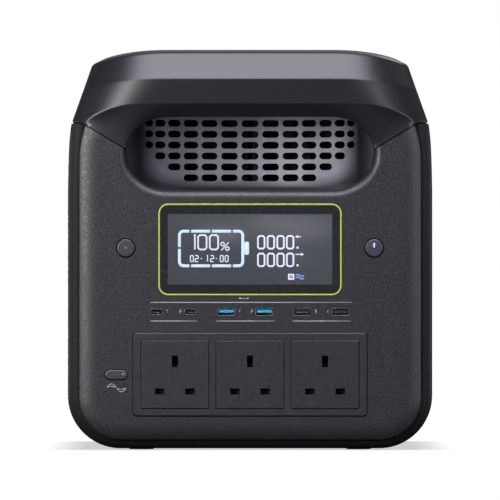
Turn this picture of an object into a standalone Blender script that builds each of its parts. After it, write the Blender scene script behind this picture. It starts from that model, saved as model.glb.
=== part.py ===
"""A portable power station with sockets at the front, inlets at the rear and a carrying brow at each end.

Metres, +Z up. The front faces -Y and the origin is under the middle of the feet. Each sub-part is one
object, and each moving piece has its origin on its joint's axis.
"""

import math

import bmesh
import bpy
from mathutils import Matrix, Vector

MM = 0.001
GAP = 0.3 * MM
WALL = 3 * MM

# Far enough out that a cutter or a kept region passes the whole object.
FAR = 300 * MM

# Driving dimensions of the casing.
HEIGHT = 294 * MM
HALF_WIDTH = 134 * MM
BASE_Z = 1 * MM
BASE_RADIUS = 39 * MM
BASE_SEAM_Z = 38.2 * MM
COVER_SEAM_Z = 240 * MM
SHELL_Y = 178 * MM
SHELL_ROUND = 8 * MM
PANEL_Y = 184 * MM
PANEL_BACK_Y = 174 * MM
PANEL_INSET = 8.4 * MM
PANEL_DROP = 2.3 * MM
PANEL_CROWN = 7 * MM

# The carrying pocket at each end, whose back wall is the grille.
POCKET_HALF_WIDTH = 91 * MM
POCKET_LOW_Z = 190.8 * MM
POCKET_HIGH_Z = 244.6 * MM
POCKET_ROOF_Z = 258 * MM
POCKET_END_X = 31 * MM
POCKET_END_Z = 26.9 * MM
POCKET_DEPTH = 74 * MM
GRILLE_RADIUS = 83 * MM
GRILLE_WALL = 2.4 * MM
LINER_SETBACK = 2.6 * MM
GRILLE_STEP = math.radians(11)
GRILLE_END = 6
SLOT_WIDTH = 12.4 * MM
SLOT_HEIGHT = 4.9 * MM
SLOT_PITCH = 8.05 * MM
SLOT_FIRST_Z = 200.6 * MM
SLOTS_EACH_SIDE = (3, 4, 5, 6, 6, 6, 5)

# The seam between an end panel and the top cover, right half.
SEAM_OUTER = (122.5 * MM, 239.5 * MM)
SEAM_INNER = (92.5 * MM, 221.7 * MM)

# Front controls.
DISPLAY_Z = 147.2 * MM
DISPLAY_HALF = (67.3 * MM, 33.7 * MM)
DISPLAY_RADIUS = 7.3 * MM
TRIM_WIDTH = 1.6 * MM
LCD_HALF = (62 * MM, 28 * MM)
BUTTON_X = 91.2 * MM
BUTTON_Z = 148.3 * MM
BUTTON_RADIUS = 6.5 * MM
AC_BUTTON = (-98.1 * MM, 55.2 * MM)
AC_BUTTON_HALF = (8.2 * MM, 3.5 * MM)
USB_Z = 101.3 * MM
USB_C_X = (-68.6 * MM, -43.9 * MM)
USB_A_X = (-17.1 * MM, 10.6 * MM, 38.4 * MM, 66.5 * MM)
USB_C_HALF = (4.75 * MM, 2.2 * MM)
USB_A_HALF = (6.6 * MM, 2.9 * MM)
OUTLET_Z = 55.4 * MM
OUTLET_HALF = (86.2 * MM, 30.7 * MM)
MODULE_HALF = 25 * MM
MODULE_X = (-55.1 * MM, 0, 55.1 * MM)
MODULE_PROUD = 1.2 * MM
MODULE_FACE = 5 * MM
MODULE_DEPTH = 25 * MM
PIN_X = 11.1 * MM
PIN_Z = -12.4 * MM
PIN_SLOT = (3.5 * MM, 2.25 * MM)
EARTH_Z = 9.6 * MM
EARTH_SLOT = (2.25 * MM, 4.3 * MM)

# Rear inlets and outlets.
REAR_ROW_Z = 130 * MM
INLET_ROW_Z = 65 * MM
CAR_SOCKET_X = -70 * MM
CAR_BORE = 10.75 * MM
CAR_HINGE = (188.5 * MM, REAR_ROW_Z + 19.5 * MM)
DC_JACK_X = (-25 * MM, 0)
SOLAR_X = 60 * MM
AC_INLET_X = -55 * MM
BREAKER_X = 45 * MM

FOOT_PLACES = {
    "foot_front_left": (-80 * MM, -145 * MM),
    "foot_front_right": (80 * MM, -145 * MM),
    "foot_rear_left": (-80 * MM, 145 * MM),
    "foot_rear_right": (80 * MM, 145 * MM),
}

# The top cover's rings in millimetres, lowest first: half sizes, corner, height at the middle and at the
# sides, and its fall. The hollow's rings are level.
COVER_RINGS = (
    (130.4, 184, (24, 9), 216, 216, (0, 0, 1)),
    (130.6, 184, (24, 9), 244.6, 238.5, (92, 122, 1.5)),
    (131, 191.5, (56, 22), 254.2, 239.8, (75, 124, 2.3)),
    (121.3, 193, (60, 40), 272.3, 265, (70, 121, 2)),
    (114, 181.5, (54, 40), 292.4, 283.5, (63, 114, 2.2)),
    (106, 176, (46, 36), 293.8, 288.5, (63, 106, 2.2)),
    (62, 168, (20, 20), 294, 294, (0, 0, 1)),
)
COVER_HOLLOW = (
    (126.4, 181, (40, 18), 210),
    (126.4, 181, (40, 18), 244),
    (118, 181, (54, 34), 262),
    (111, 177, (54, 38), 276),
    (103, 170, (46, 36), 284),
    (60, 164, (20, 20), 290.5),
)

# What the casing holds.
FAN_X = 32 * MM
FAN_Y = 81 * MM
FAN_Z = 218 * MM
FAN_HALF = 30 * MM
FAN_DEPTH = 25 * MM
FAN_BLADES = 7
PACK_WIDTH = 107 * MM
PACK_HALF_Y = 140 * MM
PACK_TOP_Z = 115 * MM
CHASSIS_X = 112 * MM
CHASSIS_Z = 122 * MM
BOARD_Z = 128 * MM
HEATSINK_TOP_Z = 184.7 * MM
DUCT_FLOOR_Z = (185 * MM, 187.7 * MM)

FINISHES = {
    "grained_shell": ((0.020, 0.021, 0.024), 0.55, 0.0),
    "satin_shell": ((0.030, 0.031, 0.036), 0.32, 0.0),
    "side_shell": ((0.012, 0.013, 0.015), 0.45, 0.0),
    "grille_plastic": ((0.060, 0.058, 0.066), 0.40, 0.0),
    "socket_plastic": ((0.024, 0.024, 0.028), 0.50, 0.0),
    "shutter_plastic": ((0.090, 0.090, 0.095), 0.50, 0.0),
    "window": ((0.035, 0.040, 0.050), 0.10, 0.0),
    "display": ((0.100, 0.110, 0.130), 0.30, 0.0),
    "trim": ((0.480, 0.640, 0.080), 0.35, 0.0),
    "button": ((0.035, 0.035, 0.040), 0.40, 0.0),
    "port_black": ((0.015, 0.015, 0.016), 0.45, 0.0),
    "port_blue": ((0.010, 0.300, 0.560), 0.40, 0.0),
    "port_steel": ((0.420, 0.420, 0.430), 0.35, 1.0),
    "rubber": ((0.015, 0.015, 0.015), 0.80, 0.0),
    "reset_red": ((0.500, 0.030, 0.020), 0.40, 0.0),
    "cell_wrap": ((0.050, 0.110, 0.260), 0.45, 0.0),
    "circuit_board": ((0.015, 0.120, 0.050), 0.45, 0.0),
    "aluminium": ((0.600, 0.610, 0.620), 0.40, 1.0),
    "copper": ((0.700, 0.330, 0.170), 0.35, 1.0),
    "core": ((0.120, 0.090, 0.050), 0.55, 0.0),
}


# ---------------------------------------------------------------- scene and helpers


def clear_scene():
    for obj in list(bpy.data.objects):
        bpy.data.objects.remove(obj, do_unlink=True)


def new_collection(name):
    collection = bpy.data.collections.new(name)
    bpy.context.scene.collection.children.link(collection)
    return collection


clear_scene()
PARTS = new_collection("power_station")
CUTTERS = new_collection("cutters")


def finish_material(key):
    """The named Principled BSDF, made on first use."""
    found = bpy.data.materials.get(key)
    if found:
        return found
    colour, roughness, metallic = FINISHES[key]
    material = bpy.data.materials.new(key)
    material.use_nodes = True
    shader = material.node_tree.nodes["Principled BSDF"]
    shader.inputs["Base Color"].default_value = (*colour, 1.0)
    shader.inputs["Roughness"].default_value = roughness
    shader.inputs["Metallic"].default_value = metallic
    material.diffuse_color = (*colour, 1.0)
    return material


def object_from(name, mesh):
    obj = bpy.data.objects.new(name, mesh)
    CUTTERS.objects.link(obj)
    obj.hide_render = True
    obj.display_type = "WIRE"
    return obj


def keep(obj, finish):
    """Makes a helper shape one of the parts, with its own finish."""
    CUTTERS.objects.unlink(obj)
    PARTS.objects.link(obj)
    obj.hide_render = False
    obj.display_type = "TEXTURED"
    obj.data.materials.clear()
    obj.data.materials.append(finish_material(finish))
    obj.data.set_sharp_from_angle(angle=math.radians(35))
    return obj


def mesh_from(name, bm):
    mesh = bpy.data.meshes.new(name)
    bmesh.ops.recalc_face_normals(bm, faces=bm.faces)
    bm.to_mesh(mesh)
    bm.free()
    return mesh


def block(name, low, high):
    """A box from its lowest to its highest corner."""
    low, high = Vector(low), Vector(high)
    bm = bmesh.new()
    size = Matrix.Diagonal((*(high - low), 1.0))
    bmesh.ops.create_cube(bm, size=1.0, matrix=Matrix.Translation((low + high) / 2) @ size)
    return object_from(name, mesh_from(name, bm))


def drum(name, centre, radius, length, axis="Y", segments=32):
    """A cylinder about its centre."""
    turn = {"X": ("Y", 90), "Y": ("X", 90), "Z": ("Z", 0)}[axis]
    place = Matrix.Translation(centre) @ Matrix.Rotation(math.radians(turn[1]), 4, turn[0])
    bm = bmesh.new()
    bmesh.ops.create_cone(
        bm, cap_ends=True, segments=segments, radius1=radius, radius2=radius, depth=length, matrix=place
    )
    return object_from(name, mesh_from(name, bm))


OUTLINE_TURNS = {
    "X": Matrix(((0, 0, 1, 0), (1, 0, 0, 0), (0, 1, 0, 0), (0, 0, 0, 1))),
    "Y": Matrix(((1, 0, 0, 0), (0, 0, -1, 0), (0, 1, 0, 0), (0, 0, 0, 1))),
    "Z": Matrix.Identity(4),
}


def mesh_of_curve(curve, place=Matrix.Identity(4)):
    """The mesh of a curve, moved into place and with its loose ends joined."""
    drawn = bpy.data.objects.new(curve.name, curve)
    CUTTERS.objects.link(drawn)
    graph = bpy.context.evaluated_depsgraph_get()
    mesh = bpy.data.meshes.new_from_object(drawn.evaluated_get(graph))
    bpy.data.objects.remove(drawn, do_unlink=True)
    mesh.transform(place)
    bm = bmesh.new()
    bm.from_mesh(mesh)
    bmesh.ops.remove_doubles(bm, verts=bm.verts, dist=0.001 * MM)
    return bm


def plate(name, outlines, start, end, axis="Y"):
    """Flat outlines, the later ones being holes, extruded along an axis from start to end."""
    curve = bpy.data.curves.new(name, "CURVE")
    curve.dimensions = "2D"
    curve.fill_mode = "BOTH"
    curve.extrude = abs(end - start) / 2
    for outline in outlines:
        spline = curve.splines.new("POLY")
        spline.points.add(len(outline) - 1)
        for point, (across, up) in zip(spline.points, outline):
            point.co = (across, up, 0.0, 1.0)
        spline.use_cyclic_u = True
    offset = Vector(((start + end) / 2 if axis == letter else 0.0) for letter in "XYZ")
    bm = mesh_of_curve(curve, Matrix.Translation(offset) @ OUTLINE_TURNS[axis])
    if len(outlines) == 1:
        bmesh.ops.dissolve_limit(bm, angle_limit=0.001, verts=bm.verts, edges=bm.edges)
    return object_from(name, mesh_from(name, bm))


def rounded(centre, half, radii, steps=5):
    """A rectangle in a plane, whose corners are quarter ellipses."""
    radii = radii if isinstance(radii, tuple) else (radii, radii)
    points = []
    for corner, (sx, sz) in enumerate(((1, 1), (-1, 1), (-1, -1), (1, -1))):
        for step in range(steps + 1):
            angle = math.pi / 2 * (corner + step / steps)
            x = centre[0] + sx * (half[0] - radii[0]) + radii[0] * math.cos(angle)
            z = centre[1] + sz * (half[1] - radii[1]) + radii[1] * math.sin(angle)
            points.append((x, z))
    return [p for i, p in enumerate(points) if math.dist(p, points[i - 1]) > 0.001 * MM]


def circle(centre, radius, segments=28):
    turns = [2 * math.pi * step / segments for step in range(segments)]
    return [(centre[0] + radius * math.cos(a), centre[1] + radius * math.sin(a)) for a in turns]


def loft(name, rings):
    """A solid through closed rings of equal count, from the lowest to the highest."""
    bm = bmesh.new()
    rows = [[bm.verts.new(point) for point in ring] for ring in rings]
    count = len(rows[0])
    for lower, upper in zip(rows, rows[1:]):
        for i in range(count):
            j = (i + 1) % count
            bm.faces.new((lower[i], lower[j], upper[j], upper[i]))
    bm.faces.new(list(reversed(rows[0])))
    bm.faces.new(rows[-1])
    return object_from(name, mesh_from(name, bm))


def merged(name, objects):
    """One helper holding the meshes of several, which are removed."""
    bm = bmesh.new()
    for obj in objects:
        bm.from_mesh(obj.data)
        bpy.data.objects.remove(obj, do_unlink=True)
    return object_from(name, mesh_from(name, bm))


def boolean(obj, operation, others):
    for other in others:
        modifier = obj.modifiers.new(operation.lower() + "_" + other.name, "BOOLEAN")
        modifier.operation = operation
        modifier.solver = "EXACT"
        modifier.object = other
    return obj


def cut(obj, *others):
    return boolean(obj, "DIFFERENCE", others)


def unite(obj, *others):
    return boolean(obj, "UNION", others)


def common(obj, *others):
    return boolean(obj, "INTERSECT", others)


def round_edges(obj, chosen, width, segments):
    """Rounds the corner edges whose two ends both pass the test."""
    bm = bmesh.new()
    bm.from_mesh(obj.data)
    edges = [e for e in bm.edges if all(chosen(v.co) for v in e.verts) and e.calc_face_angle(0) > 0.5]
    bmesh.ops.bevel(bm, geom=edges, offset=width, segments=segments, profile=0.5, affect="EDGES")
    bm.to_mesh(obj.data)
    bm.free()


def pivot_at(obj, point):
    """Moves an object's origin and leaves its shape where it is."""
    obj.data.transform(Matrix.Translation(-Vector(point)))
    obj.location = point


def span(side, near, far):
    """Start and end along Y of a stretch on one end of the object, near and far from its middle."""
    return sorted((side * near, side * far))


# ---------------------------------------------------------------- casing


def body_outline(inset, top_z, drop=0.0):
    """The casing's cross-section: straight sides drawn in a little at the top, and a round bottom."""
    half = HALF_WIDTH - inset
    low = BASE_Z + inset - drop
    radius = BASE_RADIUS - inset
    steps = 8
    right = [(half - 2 * MM, top_z), (half - 0.6 * MM, 231 * MM), (half, 221 * MM)]
    for step in range(steps + 1):
        angle = math.pi / 2 * step / steps
        right.append((half - radius + radius * math.cos(angle), low + radius - radius * math.sin(angle)))
    return right + [(-x, z) for x, z in reversed(right)]


def shell_piece(name, keep_low, keep_high, finish):
    """The part of the casing's outer skin that lies inside a box."""
    top_z = COVER_SEAM_Z
    piece = plate(name, [body_outline(0, top_z)], -SHELL_Y, SHELL_Y)
    for side in (-1, 1):
        edge_y = side * SHELL_Y
        round_edges(
            piece, lambda co, y=edge_y: abs(co.y - y) < GAP and co.z < top_z + GAP, SHELL_ROUND, 4
        )
    inner_y = SHELL_Y - SHELL_ROUND - 1 * MM
    over = top_z + 20 * MM
    cut(piece, plate(name + "_space", [body_outline(WALL, over)], -inner_y, inner_y))
    cut(piece, plate(name + "_mouth", [body_outline(PANEL_INSET, over, PANEL_DROP)], -FAR, FAR))
    common(piece, block(name + "_part", keep_low, keep_high))
    return keep(piece, finish)


def base_tray():
    high_z = BASE_SEAM_Z - GAP / 2
    tray = shell_piece("base_tray", (-FAR, -FAR, -FAR), (FAR, FAR, high_z), "side_shell")
    recesses = [drum("recess", (x, y, 0), 9.3 * MM, 6 * MM, "Z", 24) for x, y in FOOT_PLACES.values()]
    cut(tray, merged("foot_recesses", recesses))


def feet():
    thickness = 2.7 * MM
    for name, (x, y) in FOOT_PLACES.items():
        keep(drum(name, (x, y, thickness / 2), 9 * MM, thickness, "Z", 24), "rubber")


def side_covers():
    low_z = BASE_SEAM_Z + GAP / 2
    high_z = COVER_SEAM_Z + 1 * MM
    shell_piece("left_side_cover", (-FAR, -FAR, low_z), (0, FAR, high_z), "side_shell")
    shell_piece("right_side_cover", (0, -FAR, low_z), (FAR, FAR, high_z), "side_shell")


def cover_ring(half_x, half_y, corner, mid_z, side_z=None, fall=(0, 0, 1)):
    """One closed ring of the top cover, with quarter-ellipse corners.

    Its height falls from the middle to the sides, over a stretch of X and by a power of the share of it.
    """
    side_z = mid_z if side_z is None else side_z
    start, end, power = fall
    arc_steps, flat_steps = 7, 8
    flat_x, flat_y = half_x - corner[0], half_y - corner[1]
    plan = []
    for quarter, (sx, sy) in enumerate(((1, 1), (-1, 1), (-1, -1), (1, -1))):
        for step in range(arc_steps + 1):
            angle = math.pi / 2 * (quarter + step / arc_steps)
            x = sx * flat_x + corner[0] * math.cos(angle)
            plan.append((x, sy * flat_y + corner[1] * math.sin(angle)))
        if quarter in (0, 2):
            run = sx * flat_x
            plan += [(run - 2 * run * k / flat_steps, sy * half_y) for k in range(1, flat_steps)]
    ring = []
    for x, y in plan:
        share = min(max((abs(x) - start) / (end - start), 0.0), 1.0) if end else 0.0
        ring.append((x, y, mid_z + (side_z - mid_z) * share**power))
    return ring


def seam_outline(gap, far_z):
    """The region on the far side of the seam between end panels and top cover, out to far_z."""
    right = [(SEAM_INNER[0], SEAM_INNER[1] + gap), (SEAM_OUTER[0], SEAM_OUTER[1] + gap)]
    right += [(FAR, SEAM_OUTER[1] + gap), (FAR, far_z)]
    return [(-x, z) for x, z in reversed(right)] + right


def pocket_outline(top_z, grow=0.0, steps=8):
    centre_z = (top_z + POCKET_LOW_Z) / 2
    half = (POCKET_HALF_WIDTH + grow, top_z - centre_z + grow)
    return rounded((0, centre_z), half, (POCKET_END_X + grow, POCKET_END_Z + grow), steps)


def scaled(values):
    """A row of lengths in millimetres, some of them in pairs, as metres."""
    return [tuple(v * MM for v in value) if isinstance(value, tuple) else value * MM for value in values]


def top_cover():
    rings = []
    for *lengths, (start, end, power) in COVER_RINGS:
        rings.append(cover_ring(*scaled(lengths), (start * MM, end * MM, power)))
    hollow = [cover_ring(*scaled(lengths)) for lengths in COVER_HOLLOW]
    cover = loft("top_cover", rings)
    cut(cover, loft("cover_space", hollow))
    cut(cover, plate("below_seam", [seam_outline(GAP + 0.2 * MM, 0)], -FAR, FAR))
    cut(cover, plate("cover_mouth", [pocket_outline(POCKET_HIGH_Z)], -FAR, FAR))
    keep(cover, "satin_shell")


def end_panel(name, side, holes):
    """A panel closing one end of the casing, with its rim turned back and its openings cut."""
    lower_z = 245 * MM
    rim = [body_outline(PANEL_INSET + GAP, lower_z, PANEL_DROP)]
    panel = plate(name, rim, *span(side, PANEL_BACK_Y, PANEL_Y))
    face_y = side * PANEL_Y
    round_edges(panel, lambda co: abs(co.y - face_y) < GAP and co.z < lower_z + GAP, PANEL_CROWN, 4)
    hollow = [body_outline(PANEL_INSET + GAP + WALL, lower_z - 10 * MM, PANEL_DROP)]
    cut(panel, plate(name + "_space", hollow, *span(side, PANEL_BACK_Y - 10 * MM, PANEL_Y - WALL)))
    cut(panel, plate(name + "_above", [seam_outline(-0.2 * MM, 2 * FAR)], -FAR, FAR))
    reach = span(side, PANEL_BACK_Y - 20 * MM, PANEL_Y + 20 * MM)
    cutters = [plate("hole", [hole], *reach) for hole in holes]
    cut(panel, merged(name + "_holes", cutters))
    keep(panel, "grained_shell")


def pocket_plan(grow, end_y):
    """The pocket seen from above: one flat for each column of slots on an arc, then cheeks to the mouth."""
    centre_y = PANEL_Y - POCKET_DEPTH + GRILLE_RADIUS
    radius = (GRILLE_RADIUS + grow) / math.cos(GRILLE_STEP / 2)
    arc = []
    for column in range(-GRILLE_END, GRILLE_END + 2):
        angle = -(column - 0.5) * GRILLE_STEP
        arc.append((radius * math.sin(angle), centre_y - radius * math.cos(angle)))
    mouth_x = POCKET_HALF_WIDTH + grow
    return [(-mouth_x, end_y), (mouth_x, end_y)] + arc


def grille_slots(side):
    centre_y = side * (PANEL_Y - POCKET_DEPTH + GRILLE_RADIUS)
    slots = []
    for row, each_side in enumerate(SLOTS_EACH_SIDE):
        for column in range(-each_side, each_side + 1):
            slot = block(
                "slot",
                (-SLOT_WIDTH / 2, -6 * MM, -SLOT_HEIGHT / 2),
                (SLOT_WIDTH / 2, 6 * MM, SLOT_HEIGHT / 2),
            )
            turn = Matrix.Rotation(side * column * GRILLE_STEP, 4, "Z")
            out = turn @ Vector((0, -side * GRILLE_RADIUS, 0))
            place = Vector((0, centre_y, SLOT_FIRST_Z + row * SLOT_PITCH)) + out
            slot.data.transform(Matrix.Translation(place) @ turn)
            slots.append(slot)
    return merged("grille_slots", slots)


def pocket_solid(name, side, grow, start_y):
    """A solid as large as the pocket, grown by its wall thickness."""
    solid = plate(name, [pocket_outline(POCKET_ROOF_Z, grow)], *span(side, 80 * MM, start_y))
    plan = [(x, side * y) for x, y in pocket_plan(grow, start_y + 2 * MM)]
    return common(solid, plate(name + "_plan", [plan], 0, FAR, "Z"))


def grille(name, side):
    liner = pocket_solid(name, side, GRILLE_WALL, PANEL_Y - WALL - LINER_SETBACK)
    cut(liner, pocket_solid(name + "_space", side, 0.0, PANEL_Y))
    cut(liner, grille_slots(side))
    keep(liner, "grille_plastic")


# ---------------------------------------------------------------- front controls


def front_holes():
    trim = (DISPLAY_HALF[0] + GAP, DISPLAY_HALF[1] + GAP)
    holes = [
        pocket_outline(POCKET_HIGH_Z),
        rounded((0, DISPLAY_Z), trim, DISPLAY_RADIUS),
        circle((-BUTTON_X, BUTTON_Z), BUTTON_RADIUS + 0.5 * MM),
        circle((BUTTON_X, BUTTON_Z), BUTTON_RADIUS + 0.5 * MM),
        oblong(AC_BUTTON, AC_BUTTON_HALF, 0.4 * MM),
        rounded((0, OUTLET_Z), (OUTLET_HALF[0] + GAP, OUTLET_HALF[1] + GAP), 3 * MM, 3),
    ]
    holes += [oblong((x, USB_Z), USB_C_HALF, GAP) for x in USB_C_X]
    half = (USB_A_HALF[0] + GAP, USB_A_HALF[1] + GAP)
    holes += [rounded((x, USB_Z), half, 0.5 * MM, 1) for x in USB_A_X]
    return holes


def oblong(centre, half, grow=0.0):
    size = (half[0] + grow, half[1] + grow)
    return rounded(centre, size, size[1] - 0.001 * MM, 5)


def display():
    face_y = -PANEL_Y - 0.5 * MM
    inner = (DISPLAY_HALF[0] - TRIM_WIDTH, DISPLAY_HALF[1] - TRIM_WIDTH)
    inner_radius = DISPLAY_RADIUS - TRIM_WIDTH
    outer_line = rounded((0, DISPLAY_Z), DISPLAY_HALF, DISPLAY_RADIUS)
    inner_line = rounded((0, DISPLAY_Z), inner, inner_radius)
    back_y = -PANEL_Y + 2 * MM
    keep(plate("display_trim_ring", [outer_line, inner_line], face_y, back_y), "trim")
    pane = (inner[0] - GAP, inner[1] - GAP)
    pane_line = rounded((0, DISPLAY_Z), pane, inner_radius)
    keep(plate("display_window", [pane_line], face_y + 0.2 * MM, back_y), "window")
    front = back_y + GAP
    low = (-LCD_HALF[0], front, DISPLAY_Z - LCD_HALF[1])
    high = (LCD_HALF[0], front + 8 * MM, DISPLAY_Z + LCD_HALF[1])
    keep(block("lcd_module", low, high), "display")


def push_button(name, outline, centre, finish):
    button = plate(name, [outline], -PANEL_Y - 0.6 * MM, -PANEL_Y + 7 * MM)
    front_y = -PANEL_Y - 0.6 * MM
    round_edges(button, lambda co: abs(co.y - front_y) < GAP / 2, 0.5 * MM, 2)
    pivot_at(button, (centre[0], -PANEL_Y, centre[1]))
    keep(button, finish)


def front_buttons():
    left, right = (-BUTTON_X, BUTTON_Z), (BUTTON_X, BUTTON_Z)
    push_button("screen_button", circle(left, BUTTON_RADIUS), left, "button")
    push_button("power_button", circle(right, BUTTON_RADIUS), right, "button")
    push_button("ac_button", oblong(AC_BUTTON, AC_BUTTON_HALF), AC_BUTTON, "button")


def port(name, x, half, round_ends, finish):
    """A connector shell open to the front, with the tongue that its plug goes round."""
    front_y = -PANEL_Y + 0.5 * MM
    back_y = front_y + 13 * MM
    wall = 0.45 * MM
    inner = (half[0] - wall, half[1] - wall)
    if round_ends:
        outer_line, inner_line = oblong((x, USB_Z), half), oblong((x, USB_Z), inner)
        tongue = (3.3 * MM, 0.35 * MM)
        tongue_z = USB_Z
    else:
        outer_line = rounded((x, USB_Z), half, 0.6 * MM, 1)
        inner_line = rounded((x, USB_Z), inner, 0.3 * MM, 1)
        tongue = (5.4 * MM, 0.9 * MM)
        tongue_z = USB_Z + 0.8 * MM
    shell = plate(name, [outer_line], front_y, back_y)
    cut(shell, plate(name + "_space", [inner_line], front_y - 1 * MM, back_y - 1.5 * MM))
    low = (x - tongue[0], front_y + 1.2 * MM, tongue_z - tongue[1])
    high = (x + tongue[0], back_y - 1 * MM, tongue_z + tongue[1])
    unite(shell, block(name + "_tongue", low, high))
    keep(shell, finish)


def usb_ports():
    for index, x in enumerate(USB_C_X, 1):
        port(f"usb_c_port_{index}", x, USB_C_HALF, True, "port_steel")
    for index, x in enumerate(USB_A_X, 1):
        finish = "port_blue" if index <= 2 else "port_black"
        port(f"usb_a_port_{index}", x, USB_A_HALF, False, finish)
    board_y = -PANEL_Y + 13.5 * MM + GAP
    low = (-80 * MM, board_y, 89 * MM)
    keep(block("port_board", low, (80 * MM, board_y + 1.6 * MM, 111 * MM)), "circuit_board")


def outlet_frame():
    front_y = -PANEL_Y - 0.9 * MM
    openings = [rounded((x, OUTLET_Z), (MODULE_HALF + GAP, MODULE_HALF + GAP), 1 * MM, 2) for x in MODULE_X]
    outer_line = rounded((0, OUTLET_Z), OUTLET_HALF, 3 * MM, 3)
    frame = plate("outlet_frame", [outer_line], front_y, -PANEL_Y + WALL + GAP)
    round_edges(frame, lambda co: abs(co.y - front_y) < GAP, 0.8 * MM, 1)
    flange_half = (OUTLET_HALF[0] + 3 * MM, OUTLET_HALF[1] + 3 * MM)
    flange_line = rounded((0, OUTLET_Z), flange_half, 3 * MM, 3)
    flange_y = -PANEL_Y + WALL + GAP
    unite(frame, plate("outlet_flange", [flange_line], flange_y, flange_y + 2 * MM))
    cutters = [plate("opening", [line], -FAR, 0) for line in openings]
    cut(frame, merged("outlet_openings", cutters))
    keep(frame, "socket_plastic")


def socket_module(index, x):
    """A switchless three-pin socket, open at the back where its contacts go."""
    name = f"socket_module_{index}"
    front_y = -PANEL_Y - MODULE_PROUD
    face_back = front_y + MODULE_FACE
    back_y = front_y + MODULE_DEPTH
    low_z, high_z = OUTLET_Z - MODULE_HALF, OUTLET_Z + MODULE_HALF
    module = block(name, (x - MODULE_HALF, front_y, low_z), (x + MODULE_HALF, back_y, high_z))
    round_edges(module, lambda co: abs(co.y - front_y) < GAP, 0.5 * MM, 1)
    wall = 2 * MM
    space = block(
        name + "_space",
        (x - MODULE_HALF + wall, face_back, low_z + wall),
        (x + MODULE_HALF - wall, back_y + 1 * MM, high_z - wall),
    )
    slots = [(x - PIN_X, PIN_Z, PIN_SLOT), (x + PIN_X, PIN_Z, PIN_SLOT), (x, EARTH_Z, EARTH_SLOT)]
    holes = []
    for slot_x, up, half in slots:
        z = OUTLET_Z + up
        low = (slot_x - half[0], front_y - 1 * MM, z - half[1])
        holes.append(block("slot", low, (slot_x + half[0], face_back + 1 * MM, z + half[1])))
    cut(module, space, merged(name + "_slots", holes))
    keep(module, "socket_plastic")
    socket_shutter(index, x, face_back + GAP)


def socket_shutter(index, x, front_y):
    """The plate behind the line and neutral slots, pushed down by the earth pin on its stem."""
    name = f"socket_shutter_{index}"
    back_y = front_y + 1.6 * MM
    middle = OUTLET_Z + PIN_Z
    low_z, high_z = middle - 2.8 * MM, middle + 4 * MM
    shutter = block(name, (x - 17 * MM, front_y, low_z), (x + 17 * MM, back_y, high_z))
    stem_top = OUTLET_Z + EARTH_Z - 1.5 * MM
    stem = block(name + "_stem", (x - 4 * MM, front_y, middle), (x + 4 * MM, back_y, stem_top))
    pivot_at(unite(shutter, stem), (x, front_y, middle))
    keep(shutter, "shutter_plastic")


# ---------------------------------------------------------------- rear inlets


def rear_holes():
    return [
        pocket_outline(POCKET_HIGH_Z),
        circle((CAR_SOCKET_X, REAR_ROW_Z), 13.8 * MM),
        *[circle((x, REAR_ROW_Z), 5.5 * MM, 20) for x in DC_JACK_X],
        rounded((SOLAR_X, REAR_ROW_Z), (13.3 * MM, 8.3 * MM), 1.5 * MM, 2),
        rounded((AC_INLET_X, INLET_ROW_Z), (14.8 * MM, 10.8 * MM), 2 * MM, 2),
        circle((BREAKER_X, INLET_ROW_Z), 7.3 * MM, 24),
    ]


def flanged(name, flange_line, barrel_line, depth, flange=2 * MM):
    """A fitting whose flange lies on the rear panel and whose barrel goes through it."""
    face = PANEL_Y + GAP
    piece = plate(name, [flange_line], face, face + flange)
    return unite(piece, plate(name + "_barrel", [barrel_line], face + flange / 2, face - depth))


def car_socket():
    centre = (CAR_SOCKET_X, REAR_ROW_Z)
    socket = flanged("car_socket", circle(centre, 17 * MM), circle(centre, 13.5 * MM), 42 * MM)
    hinge_y, hinge_z = CAR_HINGE
    ears = []
    for side in (-1, 1):
        inner, outer = sorted((side * 5 * MM, side * 8 * MM))
        low = (CAR_SOCKET_X + inner, PANEL_Y + 0.4 * MM, REAR_ROW_Z + 13.2 * MM)
        high = (CAR_SOCKET_X + outer, hinge_y + 2.4 * MM, hinge_z + 2.4 * MM)
        ears.append(block("ear", low, high))
    unite(socket, merged("hinge_ears", ears))
    place = (CAR_SOCKET_X, hinge_y, hinge_z)
    unite(socket, drum("hinge_pin", place, 1.0 * MM, 12 * MM, "X", 12))
    cut(socket, plate("car_bore", [circle(centre, CAR_BORE)], PANEL_Y + 10 * MM, PANEL_Y - 38 * MM))
    keep(socket, "port_black")


def car_socket_cap():
    """A lid that hangs on the socket's hinge pin, with a stub that fills the mouth."""
    hinge_y, hinge_z = CAR_HINGE
    back = PANEL_Y + 2 * GAP + 2 * MM
    lid = plate("car_socket_cap", [circle((CAR_SOCKET_X, REAR_ROW_Z), 13.4 * MM)], back, back + 3 * MM)
    stub = plate("cap_stub", [circle((CAR_SOCKET_X, REAR_ROW_Z), 9.8 * MM)], back + 1 * MM, back - 4 * MM)
    tab_low = (CAR_SOCKET_X - 4.6 * MM, back, REAR_ROW_Z + 12 * MM)
    tab_high = (CAR_SOCKET_X + 4.6 * MM, back + 3 * MM, hinge_z)
    tab = block("cap_tab", tab_low, tab_high)
    place = (CAR_SOCKET_X, hinge_y, hinge_z)
    knuckle = drum("cap_knuckle", place, 2.2 * MM, 9.2 * MM, "X", 16)
    unite(lid, stub, tab, knuckle)
    cut(lid, drum("knuckle_bore", place, 1.4 * MM, 12 * MM, "X", 12))
    pivot_at(lid, place)
    keep(lid, "rubber")


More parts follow.
